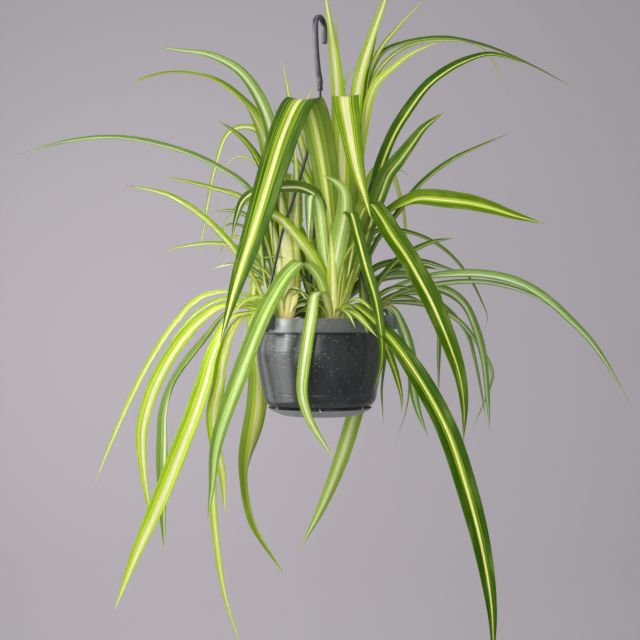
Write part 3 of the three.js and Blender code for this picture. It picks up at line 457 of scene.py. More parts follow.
# %% The rear crown
CROWNS["crown_rear"] = (6, 50), [
    # Tall leaves
    ["pale", 18, 0, [26, 36, 100], [24, 38, 200], [20, 42, 280], [14, 46, 330], [5, 50, 388]],
    ["pale", 18, 60, [33, 36, 100], [38, 38, 190], [46, 40, 275], [59, 44, 324], [76, 48, 374],
     [86, 52, 405]],
    ["pale", 10, 25, [22, 44, 150], [21, 46, 280], [20, 50, 362]],
    ["dark", 9, 40, [42, 40, 120], [50, 42, 225], [58, 46, 290], [69, 50, 348]],
    ["bright", 15, 60, [38, 36, 120], [50, 38, 215], [64, 40, 272], [87, 45, 296], [110, 49, 313],
     [140, 54, 326]],
    ["mixed", 9, 55, [34, 56, 150], [50, 66, 260], [67, 74, 310], [90, 86, 341], [125, 100, 378]],
    ["pale", 9, 60, [-2, 50, 90], [-14, 52, 170], [-33, 56, 245], [-45, 62, 307]],
    ["pale", 7, 0, [-8, 58, 100], [-17, 62, 200], [-17, 66, 250], [-5, 72, 280]],
    ["mixed", 9, 10, [20, 70, 120], [26, 76, 220], [30, 80, 278], [40, 84, 294], [52, 88, 288]],
    ["mixed", 14, 0, [-2, 62, 100], [-4, 80, 190], [-8, 104, 240], [-12, 130, 262]],
    ["mixed", 14, 0, [20, 64, 110], [24, 84, 190], [28, 110, 244], [30, 138, 272]],
    # Arches to the right, behind the first row
    ["deep", 9, 42, [36, 62, 150], [54, 72, 270], [72, 80, 311], [100, 90, 324], [145, 100, 330],
     [190, 108, 322], [240, 114, 302], [303, 118, 269]],
    ["mixed", 7, 50, [40, 74, 170], [62, 90, 280], [100, 110, 319], [150, 124, 327],
     [186, 130, 321], [202, 132, 304], [221, 134, 262]],
    ["bright", 13, 60, [26, 66, 80], [54, 86, 150], [68, 92, 176], [80, 96, 176], [90, 100, 152],
     [97, 103, 125], [100, 104, 98], [103, 104, 70]],
    ["mixed", 6, 40, [34, 78, 110], [70, 104, 172], [94, 112, 175], [113, 116, 162]],
    ["deep", 10, 50, [28, 58, 20], [48, 54, 45], [68, 52, 62], [92, 54, 68], [120, 56, 68],
     [140, 58, 63], [167, 60, 55]],
    ["grey", 9, 50, [30, 66, 14], [66, 68, 18], [100, 70, 20], [130, 72, 15], [162, 74, -2],
     [186, 76, -32], [201, 77, -62], [197, 78, -82], [179, 78, -126]],
    ["grey", 10, 50, [26, 66, 14], [60, 80, 16], [90, 88, 29], [120, 92, 30], [150, 98, 10],
     [170, 100, -14], [180, 100, -45], [195, 100, -118]],
    ["grey", 13, 60, [36, 68, 26], [66, 82, 46], [96, 92, 52], [122, 96, 48], [136, 98, 30],
     [138, 98, -10], [138, 98, -45], [139, 98, -90]],
    # Arches to the back
    ["soft", 20, 0, [14, 72, 14], [32, 88, 8], [46, 94, -36], [47, 94, -85], [38, 92, -120],
     [24, 90, -165], [4, 88, -215], [-23, 86, -268]],
    ["mixed", 18, 0, [4, 60, 60], [0, 90, 120], [-4, 130, 130], [-8, 165, 90], [-10, 185, 20],
     [-12, 192, -60]],
    ["mixed", 17, 0, [26, 64, 70], [34, 100, 140], [42, 140, 150], [50, 175, 110], [54, 195, 40],
     [54, 200, -40]],
    ["dark", 15, 0, [-10, 72, 40], [-24, 104, 62], [-36, 130, 40], [-42, 146, -10],
     [-44, 152, -80]],
    ["dark", 14, 0, [16, 80, 30], [22, 108, 36], [26, 128, 10], [26, 138, -40], [24, 142, -95]],
    ["mixed", 17, 0, [-10, 70, 60], [-30, 110, 110], [-52, 150, 112], [-70, 186, 70],
     [-80, 206, 0], [-84, 214, -90]],
    ["mixed", 16, 0, [24, 90, 100], [34, 130, 160], [44, 170, 170], [52, 204, 130], [56, 222, 70],
     [56, 228, 10]],
    # Short young leaves
    ["deep", 13, 70, [-8, 36, 14], [-18, 32, 24], [-32, 28, 22], [-44, 26, 8]],
    ["dark", 13, 70, [-6, 34, 8], [-18, 26, 10], [-32, 22, 6], [-42, 20, -4]],
    ["dark", 10, 30, [-6, 42, 22], [-16, 38, 46], [-30, 34, 56], [-44, 30, 50]],
    ["deep", 9, 0, [-10, 44, 24], [-18, 46, 52], [-24, 48, 84], [-28, 50, 116]],
    ["dark", 9, 40, [-8, 40, 14], [-20, 34, 25], [-36, 30, 20]],
    ["deep", 9, 0, [0, 40, 30], [-6, 38, 70], [-8, 36, 104]],
    ["dark", 10, 0, [16, 44, 40], [20, 42, 90], [24, 42, 132]],
    ["mixed", 9, 30, [24, 44, 30], [40, 42, 66], [60, 42, 92], [84, 42, 104]],
]
print("crown_rear", len(CROWNS["crown_rear"][1]), "leaves")

# %% [markdown]
# ## Stripes
# This variety has a white stripe down the middle of each leaf, yellow-green beside it, and green
# margins. Leaves in strong light are lime with a wide white stripe, and leaves in shade are
# painted dark with a thin pale line. Each style says how far the white and the yellow-green reach
# from the middle to the edge, how dark the greens are, partly as painted shade, and how much grey
# bloom lies over them, which partly paints their sheen.

# %% Leaf styles
# Columns: white reach, yellow-green reach, painted shade, grey bloom that partly paints sheen
STYLES = {
    "bright": (0.22, 0.66, 0.10, 0.05),
    "pale": (0.34, 0.62, 0.28, 0.15),
    "cream": (0.60, 0.85, 0.10, 0.00),
    "dried": (0.08, 0.19, 0.92, 0.00),
    "mixed": (0.24, 0.56, 0.50, 0.10),
    "broad": (0.11, 0.50, 0.95, 0.00),
    "knee": (0.12, 0.38, 0.95, 0.10),
    "banded": (0.24, 0.52, 0.80, 0.00),
    "soft": (0.20, 0.46, 0.40, 0.75),
    "silver": (0.14, 0.44, 0.36, 1.00),
    "frosted": (0.26, 0.58, 0.36, 0.55),
    "plain": (0.07, 0.34, 0.32, 0.80),
    "dark": (0.08, 0.19, 0.92, 0.00),
    "lined": (0.08, 0.30, 0.72, 0.00),
    "deep": (0.07, 0.16, 1.00, 0.25),
    "grey": (0.13, 0.36, 0.72, 1.00),
}
print(len(STYLES), "leaf styles")

# %% [markdown]
# ## One blade
# A blade is a thin closed strip. Its cross-section is a shallow open V, deeper near the crown,
# with a keel under the middle and edges that wave a little. Every point also keeps where it lies
# on its leaf, across from -1 to 1 and along from 0 to 1, so the finish can draw stripes that
# follow the leaf however it bends.

# %% Blade line
SOIL_TOP = -10.0
BLADE_STEP = 4.0
ROOT_DEPTH, ROOT_SPREAD = 8.0, 3.0


def blade_line(place, roll, points):
    """A leaf's middle line, its length, and the directions across it and out of its face."""
    tip = from_view(points[-1])
    heading = unit(np.array([tip[0] - place[0], tip[1] - place[1], 0.0]))
    root = np.array([*place, SOIL_TOP - ROOT_DEPTH]) + ROOT_SPREAD * heading
    path, length = even_steps(smooth_path([root, *map(from_view, points)]), BLADE_STEP)
    along = np.linspace(0.0, 1.0, len(path))
    tangent = unit(np.gradient(path, axis=0))
    middle_roll, tip_roll = roll if isinstance(roll, list) else (roll, roll)
    side = np.array([heading[1], -heading[0], 0.0])
    if middle_roll == 0:
        side = np.array([np.sign(heading[1]) or 1.0, 0.0, 0.0])
    flat = unit(side - tangent * (tangent @ side)[:, None])
    lean = middle_roll * smoothstep(along, 0.0, 0.4)
    lean = lean + (tip_roll - middle_roll) * smoothstep(along, 0.45, 0.7)
    lean = np.radians(lean * np.sign(heading[0] or 1.0))
    across = flat * np.cos(lean)[:, None] + np.cross(tangent, flat) * np.sin(lean)[:, None]
    return path, length, across, np.cross(across, tangent)


# %% Blade section
ACROSS = np.linspace(-1.0, 1.0, 11)
CHANNEL = 0.22
WAVE_LENGTH, WAVE_HEIGHT = 11.0, 0.016
EDGE_THICKNESS, KEEL_THICKNESS = 0.35, 1.1
NARROWEST = 0.5


def blade_width(along):
    """The share of its full width that a blade has at each place along it."""
    swell = 0.45 + 0.55 * smoothstep(along, 0.0, 0.45)
    taper = np.where(along < 0.55, 1.0, 1.0 - (np.maximum(along - 0.55, 0.0) / 0.45) ** 2.1)
    return swell * np.maximum(taper, 0.0)


def blade(place, width, roll, points, seed):
    """Rings of points round a blade, their place on the leaf, and which are on its underside."""
    path, length, across, face = blade_line(place, roll, points)
    along = np.linspace(0.0, 1.0, len(path))
    half = np.maximum(width * blade_width(along), NARROWEST)[:, None] / 2

    # The channel is deep near the crown, and flattens where the leaf bends sharply
    tangent = unit(np.gradient(path, axis=0))
    bend = np.linalg.norm(np.gradient(tangent, axis=0), axis=1) / (length / len(path))
    flattened = 1.0 / (1.0 + (1.4 * bend * width) ** 2)
    channel = CHANNEL * (1.0 + 0.6 * (1.0 - smoothstep(along, 0.02, 0.3)))[:, None]
    channel = channel * np.convolve(flattened, np.ones(7) / 7, "same")[:, None]

    # The edges wave, and the blade is thickest at its keel
    wave = np.sin(along[:, None] * length / WAVE_LENGTH + seed * 40.0 + ACROSS * 1.3)
    wave = wave * WAVE_HEIGHT * width * np.abs(ACROSS) ** 3
    lift = 2 * half * channel * np.abs(ACROSS) ** 1.3
    lift = lift + wave * smoothstep(along, 0.1, 0.3)[:, None]
    thick = EDGE_THICKNESS + (KEEL_THICKNESS - EDGE_THICKNESS) * (1 - np.abs(ACROSS)) ** 2
    thick = thick * np.minimum(1.0, half / 2.5)

    out = across[:, None, :] * (half * ACROSS)[:, :, None]
    top = path[:, None, :] + out + face[:, None, :] * lift[:, :, None]
    under = top - face[:, None, :] * thick[:, :, None]
    rings = np.concatenate([top, under[:, ::-1]], axis=1)
    where = np.full(rings.shape, seed)
    where[:, :, 0] = np.concatenate([ACROSS, ACROSS[::-1]])
    where[:, :, 1] = along[:, None]
    is_under = np.repeat([0.0, 1.0], len(ACROSS))
    return rings, where, np.tile(is_under, (len(path), 1))


def ring_faces(steps, around, first=0):
    """Quads between the rings, and one face over each end."""
    faces = [(first + ring * around + edge, first + (ring + 1) * around + edge,
              first + (ring + 1) * around + (edge + 1) % around,
              first + ring * around + (edge + 1) % around)
             for ring in range(steps - 1) for edge in range(around)]
    faces.append(tuple(first + edge for edge in range(around)))
    faces.append(tuple(first + (steps - 1) * around + edge for edge in reversed(range(around))))
    return faces


print("a blade has a ring every", BLADE_STEP, "mm, of", 2 * len(ACROSS), "points")

# %% [markdown]
# ## From points to an object
# Blender keeps an object's shape in a mesh: points, faces, and any further values at the points.
# Each piece here has its place in its mesh and its object at the origin, as the CAD nodes have.
# It rides on the part's only body and hides the CAD node that it stands for.

# %% Making a piece
def piece(name, points, faces, material, stands_for, values=None):
    """A finished object from points in millimetres. Values are named numbers at its points."""
    mesh = bpy.data.meshes.new(name)
    mesh.from_pydata(metres(points).tolist(), [], faces)
    mesh.update()
    for label, data in (values or {}).items():
        data = np.asarray(data, np.float32)
        kind = "FLOAT_VECTOR" if data.ndim == 2 else "FLOAT"
        stored = mesh.attributes.new(label, kind, "POINT")
        stored.data.foreach_set("vector" if data.ndim == 2 else "value", data.ravel())
    mesh.polygons.foreach_set("use_smooth", [True] * len(mesh.polygons))
    mesh.materials.append(material)
    made = bpy.data.objects.new(name, mesh)
    scene.collection.objects.link(made)
    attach(made, "root")
    if stands_for:
        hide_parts(*stands_for)
    print(name, len(mesh.vertices), "points", len(mesh.polygons), "faces")
    return made


# %% [markdown]
# ## The leaf finish
# The stripes come from the two numbers that each point keeps. A stretched noise, fine across the
# leaf and long along it, frays the borders of the bands and adds the fine parallel veins that all
# such leaves have. The same noise lifts the surface a hair, so the gloss breaks up into lines.
# Sums with such numbers are nodes too, so these get short words first.

# %% Sums with sockets
def calc(operation, *values, clamp=False):
    """A sum of sockets and plain numbers."""
    tree = next(value.id_data for value in values if isinstance(value, bpy.types.NodeSocket))
    made = node(tree, "Math", dict(enumerate(values)), operation=operation, use_clamp=clamp)
    return made.outputs[0]


def times(one, other):
    return calc("MULTIPLY", one, other)


def plus(one, other, clamp=False):
    return calc("ADD", one, other, clamp=clamp)


def minus(one, other):
    return calc("SUBTRACT", one, other)


def ease(value, low, high):
    """0 below low and 1 above high, with a soft step between them."""
    made = node(value.id_data, "MapRange", {0: value, 1: low, 2: high},
                interpolation_type="SMOOTHSTEP")
    return made.outputs[0]


def parts(place):
    return node(place.id_data, "SeparateXYZ", {0: place}).outputs


def vector(x, y, z):
    return node(x.id_data, "CombineXYZ", {0: x, 1: y, 2: z}).outputs[0]


def attribute(tree, name, output="Vector"):
    """The value that a mesh keeps at its points under this name."""
    return node(tree, "Attribute", attribute_name=name).outputs[output]


def bump(shader, height, strength, distance):
    """Lifts the surface by a height from 0 to 1, over a distance in metres."""
    made = node(shader.id_data, "Bump",
                {"Height": height, "Strength": strength, "Distance": distance})
    shader.id_data.links.new(made.outputs[0], shader.inputs["Normal"])


# %% [markdown]
# ## The leaf's colours
# Three bands lie side by side from the middle of a blade to its edge: the white stripe, the
# yellow-green band and the green margin. Each has one colour in brightly lit leaves, one painted
# darker for leaves in shade, and one under the grey bloom, which partly paints a sheen. Near the
# soil every leaf fades to cream.

# %% Leaf colours
BANDS = {
    "margin": ((138, 168, 16), (40, 72, 1), (92, 118, 58)),
    "band": ((180, 196, 66), (142, 168, 14), (160, 188, 116)),
    "stripe": ((202, 194, 176), (214, 208, 148), (196, 200, 184)),
}
BORDER = 0.03
BLOTCH, UNDERSIDE = (196, 208, 110), (186, 206, 90)
CRISP_DARK, CRISP_LIGHT = (96, 58, 30), (186, 140, 84)


def band_colour(name, painted_shade, bloom_and_sheen):
    # The painted shade darkens each band, and the bloom greys it, partly as a painted sheen
    bright, painted_dark, bloom_and_sheen_tone = (linear(*colour) for colour in BANDS[name])
    return mix(bloom_and_sheen, mix(painted_shade, bright, painted_dark), bloom_and_sheen_tone)


def stripes(off_centre, veins, lines, white, lime, painted_shade, bloom_and_sheen):
    """The three bands, with thin lines of each in the next and fine green veins over all."""
    margin, band, stripe = (band_colour(name, painted_shade, bloom_and_sheen) for name in BANDS)
    past_white, past_lime = minus(off_centre, white), minus(off_centre, lime)
    lime_lines = times(ease(lines, 0.53, 0.58), ease(past_lime, 0.45, 0.0))
    lined_margin = mix(times(lime_lines, 0.8), margin, band)
    band = mix(times(ease(lines, 0.47, 0.42), 0.7), band, margin)
    stripe = mix(times(ease(veins, 0.52, 0.62), 0.35), stripe, band)
    outer = mix(ease(past_lime, -BORDER, BORDER), band, lined_margin)
    colour = mix(ease(past_white, -BORDER, BORDER), stripe, outer)
    return mix(times(ease(veins, 0.50, 0.68), 0.36), colour, margin)


def pale_foot(off_centre, veins, lines, white, rooted):
    """Cream with green lines and edges, and warmer right at the root. Wide stripes stay paler."""
    cream, lime, green, edge_green, root = (linear(*colour) for colour in (
        (244, 234, 158), (186, 212, 44), (132, 160, 30), (92, 124, 12), (252, 208, 138)))
    greener = minus(1.0, times(ease(white, 0.45, 0.55), 0.8))
    foot = mix(times(ease(lines, 0.44, 0.56), greener), cream, lime)
    foot = mix(times(ease(veins, 0.5, 0.7), 0.5), foot, green)
    edge = times(ease(off_centre, 0.70, 0.92), 0.75)
    foot = mix(times(edge, greener), foot, edge_green)
    return mix(ease(rooted, 0.86, 1.0), foot, root)


print(len(BANDS), "bands of colour")


# %% Leaf material
def leaf_material():
    material, tree, shader = new_material("striped_leaf")
    across, along, seed = parts(attribute(tree, "blade"))
    # The style's third value is painted shade; the bloom is grey bloom and partly painted sheen
    white, lime, painted_shade = parts(attribute(tree, "style"))
    under, dry, rooted = parts(attribute(tree, "state"))
    bloom_and_sheen = attribute(tree, "bloom_and_sheen", "Fac")
    leaf_id = times(seed, 91.0)

    def streaks(across_leaf, along_leaf, detail, scale=1.0):
        place = vector(times(across, across_leaf), times(along, along_leaf), leaf_id)
        return noise(place, scale, detail)

    veins, lines = streaks(30.0, 5.0, 3.0), streaks(9.0, 2.0, 1.0)
    bands, blotch = streaks(2.4, 2.0, 1.0), streaks(1.0, 9.0, 4.0, 1.5)
    off_centre = calc("ABSOLUTE", across)
    frayed = plus(off_centre, times(minus(veins, 0.5), 0.10))
    frayed = plus(frayed, times(minus(bands, 0.5), 0.34))

    colour = stripes(frayed, veins, lines, white, lime, painted_shade, bloom_and_sheen)
    colour = mix(times(ease(blotch, 0.45, 0.85), 0.16), colour, linear(*BLOTCH))
    colour = mix(times(under, 0.26), colour, linear(*UNDERSIDE))
    colour = mix(rooted, colour, pale_foot(off_centre, veins, lines, white, rooted))
    colour = mix(dry, colour, mix(blotch, linear(*CRISP_DARK), linear(*CRISP_LIGHT)))
    tree.links.new(colour, shader.inputs["Base Color"])

    rough = plus(plus(times(veins, 0.22), 0.30), times(under, 0.16))
    tree.links.new(plus(rough, times(dry, 0.3)), shader.inputs["Roughness"])
    bump(shader, veins, 0.35, 0.0006)
    shader.inputs["Specular IOR Level"].default_value = 0.09
    shader.inputs["Subsurface Weight"].default_value = 0.6
    shader.inputs["Subsurface Radius"].default_value = (0.9, 1.0, 0.35)
    shader.inputs["Subsurface Scale"].default_value = 0.0015
    return material


LEAF = leaf_material()
print(LEAF.name, len(LEAF.node_tree.nodes), "nodes")

# %% [markdown]
# ## The crowns
# All the leaves of one crown are one piece, as they grow together. Each leaf gets its own seed,
# and a few have the brown, dried tips that an indoor spider plant always has. Four tips are brown
# because they are so on this plant, and chance picks the others.

# %% Leaf by leaf
# The left and middle crowns keep their cream feet higher, partly the plant's pale bases and partly
# painted light in the thicket, which the lamps reach little
PALE_AND_LIT_FOOT = {"crown_left": 130.0, "crown_centre": 75.0}
SHORT_FOOT = 60.0
FOOT_STRENGTH = 0.88
BROWN_TIPS = {(-228, 158), (-132, -234), (302, -9), (106, -64)}
BROWN_CHANCE = 0.15


def leaf_state(name, style, along, under, browned):
    """How much each point is on the underside, how dry it is, and how near its pale foot."""
    length = len(along) * BLADE_STEP
    pale_foot = min(PALE_AND_LIT_FOOT.get(name, SHORT_FOOT), 0.6 * length)
    dry = smoothstep(along, 1.0 - browned, 1.0 - browned * 0.6)
    rooted = 1.0 - smoothstep(along * length, 0.1 * pale_foot, pale_foot)
    if style == "dried":
        dry = np.ones_like(dry)
    return np.stack([under, dry, (1.0 if style == "cream" else FOOT_STRENGTH) * rooted], axis=2)


def crown(name, place, leaves):
    """One crown as one piece, with the numbers at its points that the leaf finish reads."""
    random = np.random.default_rng(sum(map(ord, name)))
    points, faces, values = [], [], {"blade": [], "style": [], "state": [], "bloom_and_sheen": []}
    count = 0
    for style, width, roll, *path in leaves:
        seed = random.random()
        rings, where, under = blade(place, width, roll, path, seed)
        brown_tip = (path[-1][0], path[-1][2]) in BROWN_TIPS or random.random() < BROWN_CHANCE
        browned = 0.015 + 0.04 * random.random() if brown_tip else 0.004
        state = leaf_state(name, style, where[:, :, 1], under, browned)
        # The stripe lies a little to one side, and no two leaves have quite the same tones
        where[:, :, 0] += 0.3 * (random.random() - 0.5)
        tones = np.array(STYLES[style]) * (1.0 + 0.2 * (random.random(4) - 0.5))
        steps, around = under.shape
        faces += ring_faces(steps, around, count)
        count += steps * around
        points.append(rings.reshape(-1, 3))
        values["blade"].append(where.reshape(-1, 3))
        values["state"].append(state.reshape(-1, 3))
        values["style"].append(np.tile(tones[:3], (steps * around, 1)))
        values["bloom_and_sheen"].append(np.full(steps * around, tones[3]))
    values = {label: np.concatenate(data) for label, data in values.items()}
    return piece("leaves_" + name.removeprefix("crown_"), np.concatenate(points), faces, LEAF,
                 [name], values)


# %% Build the crowns
for name, (place, leaves) in CROWNS.items():
    crown(name, place, leaves)

# %% [markdown]
# ## The moulded plastic
# Nursery pots are cheap moulded plastic: dark grey, half matte, never quite even. This one has
# stood among plants, so fine pale dust lies on it and it has a few long scratches. Faint tall pale
# streaks are painted reflections, and the rim band is painted paler, most on its left side, as a
# highlight. One recipe makes all the plastic here, with its own tones, gloss and amount of dust
# for each piece.

# %% Plastic material
BAND_START = -0.3657  # where the rim band starts, in metres from the hook


def plastic(name, tone, light_tone, gloss, dust, scratches, pale_rim_highlight=0.0):
    material, tree, shader = new_material(name)
    tone, light_tone, rim_highlight_tone, pale = (
        linear(*colour) for colour in (tone, light_tone, (168, 174, 170), (196, 198, 200)))
    place = node(tree, "TexCoord").outputs["Object"]
    x, y, z = parts(place)
    cloud = noise(place, 26.0, 4.0)
    tall = noise(vector(times(x, 90.0), times(y, 90.0), times(z, 9.0)), 1.0, 3.0)
    fine = noise(place, 900.0, 3.0, 0.7)
    cells = node(tree, "TexVoronoi", {"Vector": place, "Scale": 300.0}).outputs
    speck = times(ease(cells["Distance"], 0.14, 0.07), ease(parts(cells["Color"])[0], 0.32, 0.42))
    slanted = vector(plus(times(x, 260.0), times(z, 120.0)), times(y, 260.0), times(z, 12.0))
    scratch = ease(noise(slanted, 1.0), 0.735, 0.76)
    marks = plus(times(speck, dust), times(scratch, scratches), clamp=True)

    colour = mix(times(ease(cloud, 0.40, 0.80), 0.45), tone, light_tone)
    # Tall pale streaks up the wall are painted reflections of the lamps
    colour = mix(times(ease(tall, 0.5, 0.8), 0.30), colour, light_tone)
    # The rim band is painted paler, a little all round and fully on its left, where the paleness
    # is a painted highlight of the lamps on that side
    on_band = times(ease(z, BAND_START - 0.0006, BAND_START), pale_rim_highlight)
    colour = mix(times(on_band, plus(ease(x, -0.02, -0.05), 0.4)), colour, rim_highlight_tone)
    colour = mix(marks, colour, pale)
    tree.links.new(colour, shader.inputs["Base Color"])

    rough = plus(plus(times(cloud, 0.16), gloss), times(marks, 0.35), clamp=True)
    tree.links.new(rough, shader.inputs["Roughness"])
    bump(shader, plus(times(fine, 0.35), times(tall, 0.5)), 0.30, 0.0004)
    shader.inputs["Specular IOR Level"].default_value = 0.8
    return material


POT_PLASTIC = plastic("dusty_pot_plastic", (27, 30, 30), (58, 64, 66), 0.15, 0.85, 0.5, 0.35)
EAR_PLASTIC = plastic("ear_plastic", (66, 70, 72), (100, 106, 108), 0.24, 0.4, 0.2)
SAUCER_PLASTIC = plastic("saucer_plastic", (118, 123, 124), (150, 156, 158), 0.26, 0.4, 0.2)
HANGER_PLASTIC = plastic("hanger_plastic", (30, 34, 40), (64, 74, 90), 0.24, 0.3, 0.15)
print("plastics for the pot, its ears, the saucer and the hanger")

# %% [markdown]
# ## Turned shapes
# The pot and the saucer are round, so each is one outline turned about the middle. The outline's
# corners are rounded first, because no moulded edge is sharp, and the fine bead of light along
# such an edge is what makes it look like plastic.

# %% Turning an outline
ROUND_STEPS = 160


def rounded(outline, radius, steps=3):
    """An outline of (radius, height) points with all corners but the first and last rounded."""
    outline = [np.asarray(point, float) for point in outline]
    made = [outline[0]]
    for before, corner, after in zip(outline, outline[1:], outline[2:]):
        to_before, to_after = before - corner, after - corner
        cut = min(radius, np.linalg.norm(to_before) * 0.45, np.linalg.norm(to_after) * 0.45)
        start = corner + unit(to_before) * cut
        end = corner + unit(to_after) * cut
        for share in np.linspace(0.0, 1.0, steps + 1):
            left = 1 - share
            made.append(left ** 2 * start + 2 * share * left * corner + share ** 2 * end)
    return np.array(made + [outline[-1]])


def turned(outline, steps=ROUND_STEPS):
    """Points and faces of a closed outline turned about the axis. It starts and ends on it."""
    angles = np.linspace(0.0, 2 * math.pi, steps, endpoint=False)
    inner = np.asarray(outline)[1:-1]
    points = [(r * math.cos(a), r * math.sin(a), z) for a in angles for r, z in inner]
    rows = len(inner)
    faces = []
    for turn in range(steps):
        here, there = turn * rows, ((turn + 1) % steps) * rows
        faces += [(here + row, there + row, there + row + 1, here + row + 1)
                  for row in range(rows - 1)]
        faces.append((steps * rows, there, here))
        faces.append((steps * rows + 1, here + rows - 1, there + rows - 1))
    points += [(0.0, 0.0, outline[0][1]), (0.0, 0.0, outline[-1][1])]
    return np.array(points), faces


print(ROUND_STEPS, "steps round the pot")

# %% [markdown]
# ## The pot
# The pot has a plain upright rim band, steps in under it, then bulges and narrows to a rounded
# heel. Two fine lines run round it where the mould's parts met. Its floor has a ring of drain
# holes, cut here by a boolean modifier that is applied at once.

# %% Pot outline
RIM_RADIUS, RIM_TOP, BAND_BOTTOM = 75.0, 1.75, -13.75
LIP = 2.4
WALL = 2.0
SHOULDER = 5.0
BELLY_RADIUS, BELLY_DEPTH = 74.0, 35.5
HEEL_RADIUS, HEEL_DEPTH = 67.0, 82.0
FLOOR_RADIUS, FLOOR_DEPTH = 61.5, 98.7
SEAMS = (BELLY_DEPTH + 1.0, HEEL_DEPTH + 1.5)
GROOVE = np.array([[0.0, 0.7], [-0.22, 0.25], [-0.22, -0.25], [0.0, -0.7]])


def pot_wall():
    """The smooth outside of the wall under the rim band, from the shoulder down to the floor."""
    heights = {BAND_BOTTOM - 1.0: RIM_RADIUS - SHOULDER, -BELLY_DEPTH + 10: BELLY_RADIUS - 1.4,
               -BELLY_DEPTH: BELLY_RADIUS, -BELLY_DEPTH - 12: BELLY_RADIUS - 0.8,
               -HEEL_DEPTH: HEEL_RADIUS, -FLOOR_DEPTH + 6: FLOOR_RADIUS + 3.5,
               -FLOOR_DEPTH + 0.8: FLOOR_RADIUS}
    path = smooth_path([(radius, 0.0, z) for z, radius in heights.items()], 14)[:, [0, 2]]
    for depth in SEAMS:
        radius = np.interp(depth, -path[:, 1], path[:, 0])
        path = path[np.abs(path[:, 1] + depth) > 1.0]
        path = np.concatenate([path, GROOVE + (radius, -depth)])
        path = path[np.argsort(-path[:, 1], kind="stable")]
    return path


def pot_outline():
    """The pot's section, from the middle of the floor's underside round to its top side."""
    wall = pot_wall()
    neck, inner = RIM_RADIUS - SHOULDER, RIM_RADIUS - WALL
    band = [(neck, BAND_BOTTOM), (RIM_RADIUS, BAND_BOTTOM), (RIM_RADIUS, RIM_TOP - LIP),
            (RIM_RADIUS - 0.35, RIM_TOP - LIP + 0.3), (RIM_RADIUS - 0.3, RIM_TOP),
            (inner - 0.4, RIM_TOP), (inner - 0.6, BAND_BOTTOM + WALL),
            (neck - WALL, BAND_BOTTOM + WALL)]
    inside = [(radius - WALL, z) for radius, z in wall[::4] if z > -FLOOR_DEPTH + 6]
    return [(0.0, -FLOOR_DEPTH), (FLOOR_RADIUS - 3, -FLOOR_DEPTH), *wall[::-1], *band, *inside,
            (FLOOR_RADIUS - 5, -FLOOR_DEPTH + WALL), (0.0, -FLOOR_DEPTH + WALL)]


points, faces = turned(rounded(pot_outline(), 0.45))
pot = piece("pot_shell", points, faces, POT_PLASTIC, ["pot"])

# %% Drain holes
DRAIN_HOLES, DRAIN_CIRCLE, DRAIN_RADIUS = 8, 36.0, 4.0
STUD_RADIUS = 5.0
DRILL_LENGTH = 20.0


def drills(places):
    """Round rods as one mesh, for cutting holes. Each place is (x, y, radius)."""
    made = bmesh.new()
    for x, y, radius in places:
        rod = bmesh.ops.create_cone(made, cap_ends=True, segments=32, radius1=radius / 1000,
                                    radius2=radius / 1000, depth=DRILL_LENGTH / 1000)
        bmesh.ops.translate(made, verts=rod["verts"], vec=metres((x, y, -FLOOR_DEPTH)))
    mesh = bpy.data.meshes.new("drills")
    made.to_mesh(mesh)
    made.free()
    return bpy.data.objects.new("drills", mesh)


def apply_modifiers(target):
    """Gives the target the mesh that its modifiers make, and takes the modifiers off."""
    depsgraph = bpy.context.evaluated_depsgraph_get()
    result = bpy.data.meshes.new_from_object(target.evaluated_get(depsgraph))
    target.modifiers.clear()
    target.data = result


def cut(target, tool):
    """Cuts the tool out of the target and drops the tool."""
    scene.collection.objects.link(tool)
    modifier = target.modifiers.new("cut", "BOOLEAN")
    modifier.object = tool
    modifier.operation = "DIFFERENCE"
    modifier.solver = "EXACT"
    apply_modifiers(target)
    bpy.data.objects.remove(tool)


turns = [2 * math.pi * hole / DRAIN_HOLES for hole in range(DRAIN_HOLES)]
ring = [(DRAIN_CIRCLE * math.cos(a), DRAIN_CIRCLE * math.sin(a), DRAIN_RADIUS) for a in turns]
cut(pot, drills([(0.0, 0.0, STUD_RADIUS), *ring]))
print("pot", len(pot.data.polygons), "faces after drilling")

# %% [markdown]
# ## The ears
# Three blocks stand out from the rim, and each has an open slot that an arm slides into. A block
# is drawn flat as seen from above, pulled up to its height, and bevelled.

# %% Ears
EARS = {"left": 222.0, "right": 342.0, "rear": 102.0}
EAR_WIDTH, EAR_REACH, EAR_TOP, EAR_BOTTOM = 16.5, 90.0, 5.5, -10.7
ARM_SEAT, ARM_DIAMETER = 81.0, 3.2
SLOT_WIDTH = ARM_DIAMETER + 1.2


def turn_about_z(points, degrees):
    """The points turned about the upright axis through the pot's middle."""
    angle = math.radians(degrees)
    x, y, z = np.asarray(points, float).T
    return np.stack([x * math.cos(angle) - y * math.sin(angle),
                     x * math.sin(angle) + y * math.cos(angle), z], axis=1)


def ear_plan():
    """The block from above, as (outward, sideways): a U round the slot."""
    inner, slot_end = RIM_RADIUS - 1.2, ARM_SEAT - 1.0
    half, slot = EAR_WIDTH / 2, SLOT_WIDTH / 2
    bend = np.linspace(-math.pi / 2, -3 * math.pi / 2, 9)
    u_end = [(slot_end + slot * math.cos(a), slot * math.sin(a)) for a in bend]
    return [(inner, -half), (EAR_REACH, -half), (EAR_REACH, -slot), *u_end,
            (EAR_REACH, slot), (EAR_REACH, half), (inner, half)]


def slab(plan, bottom, top):
    """Points and faces of a flat outline pulled up between two heights."""
    count = len(plan)
    points = [(x, y, z) for z in (bottom, top) for x, y in plan]
    faces = [tuple(reversed(range(count))), tuple(range(count, 2 * count))]
    faces += [(i, (i + 1) % count, count + (i + 1) % count, count + i) for i in range(count)]
    return points, faces


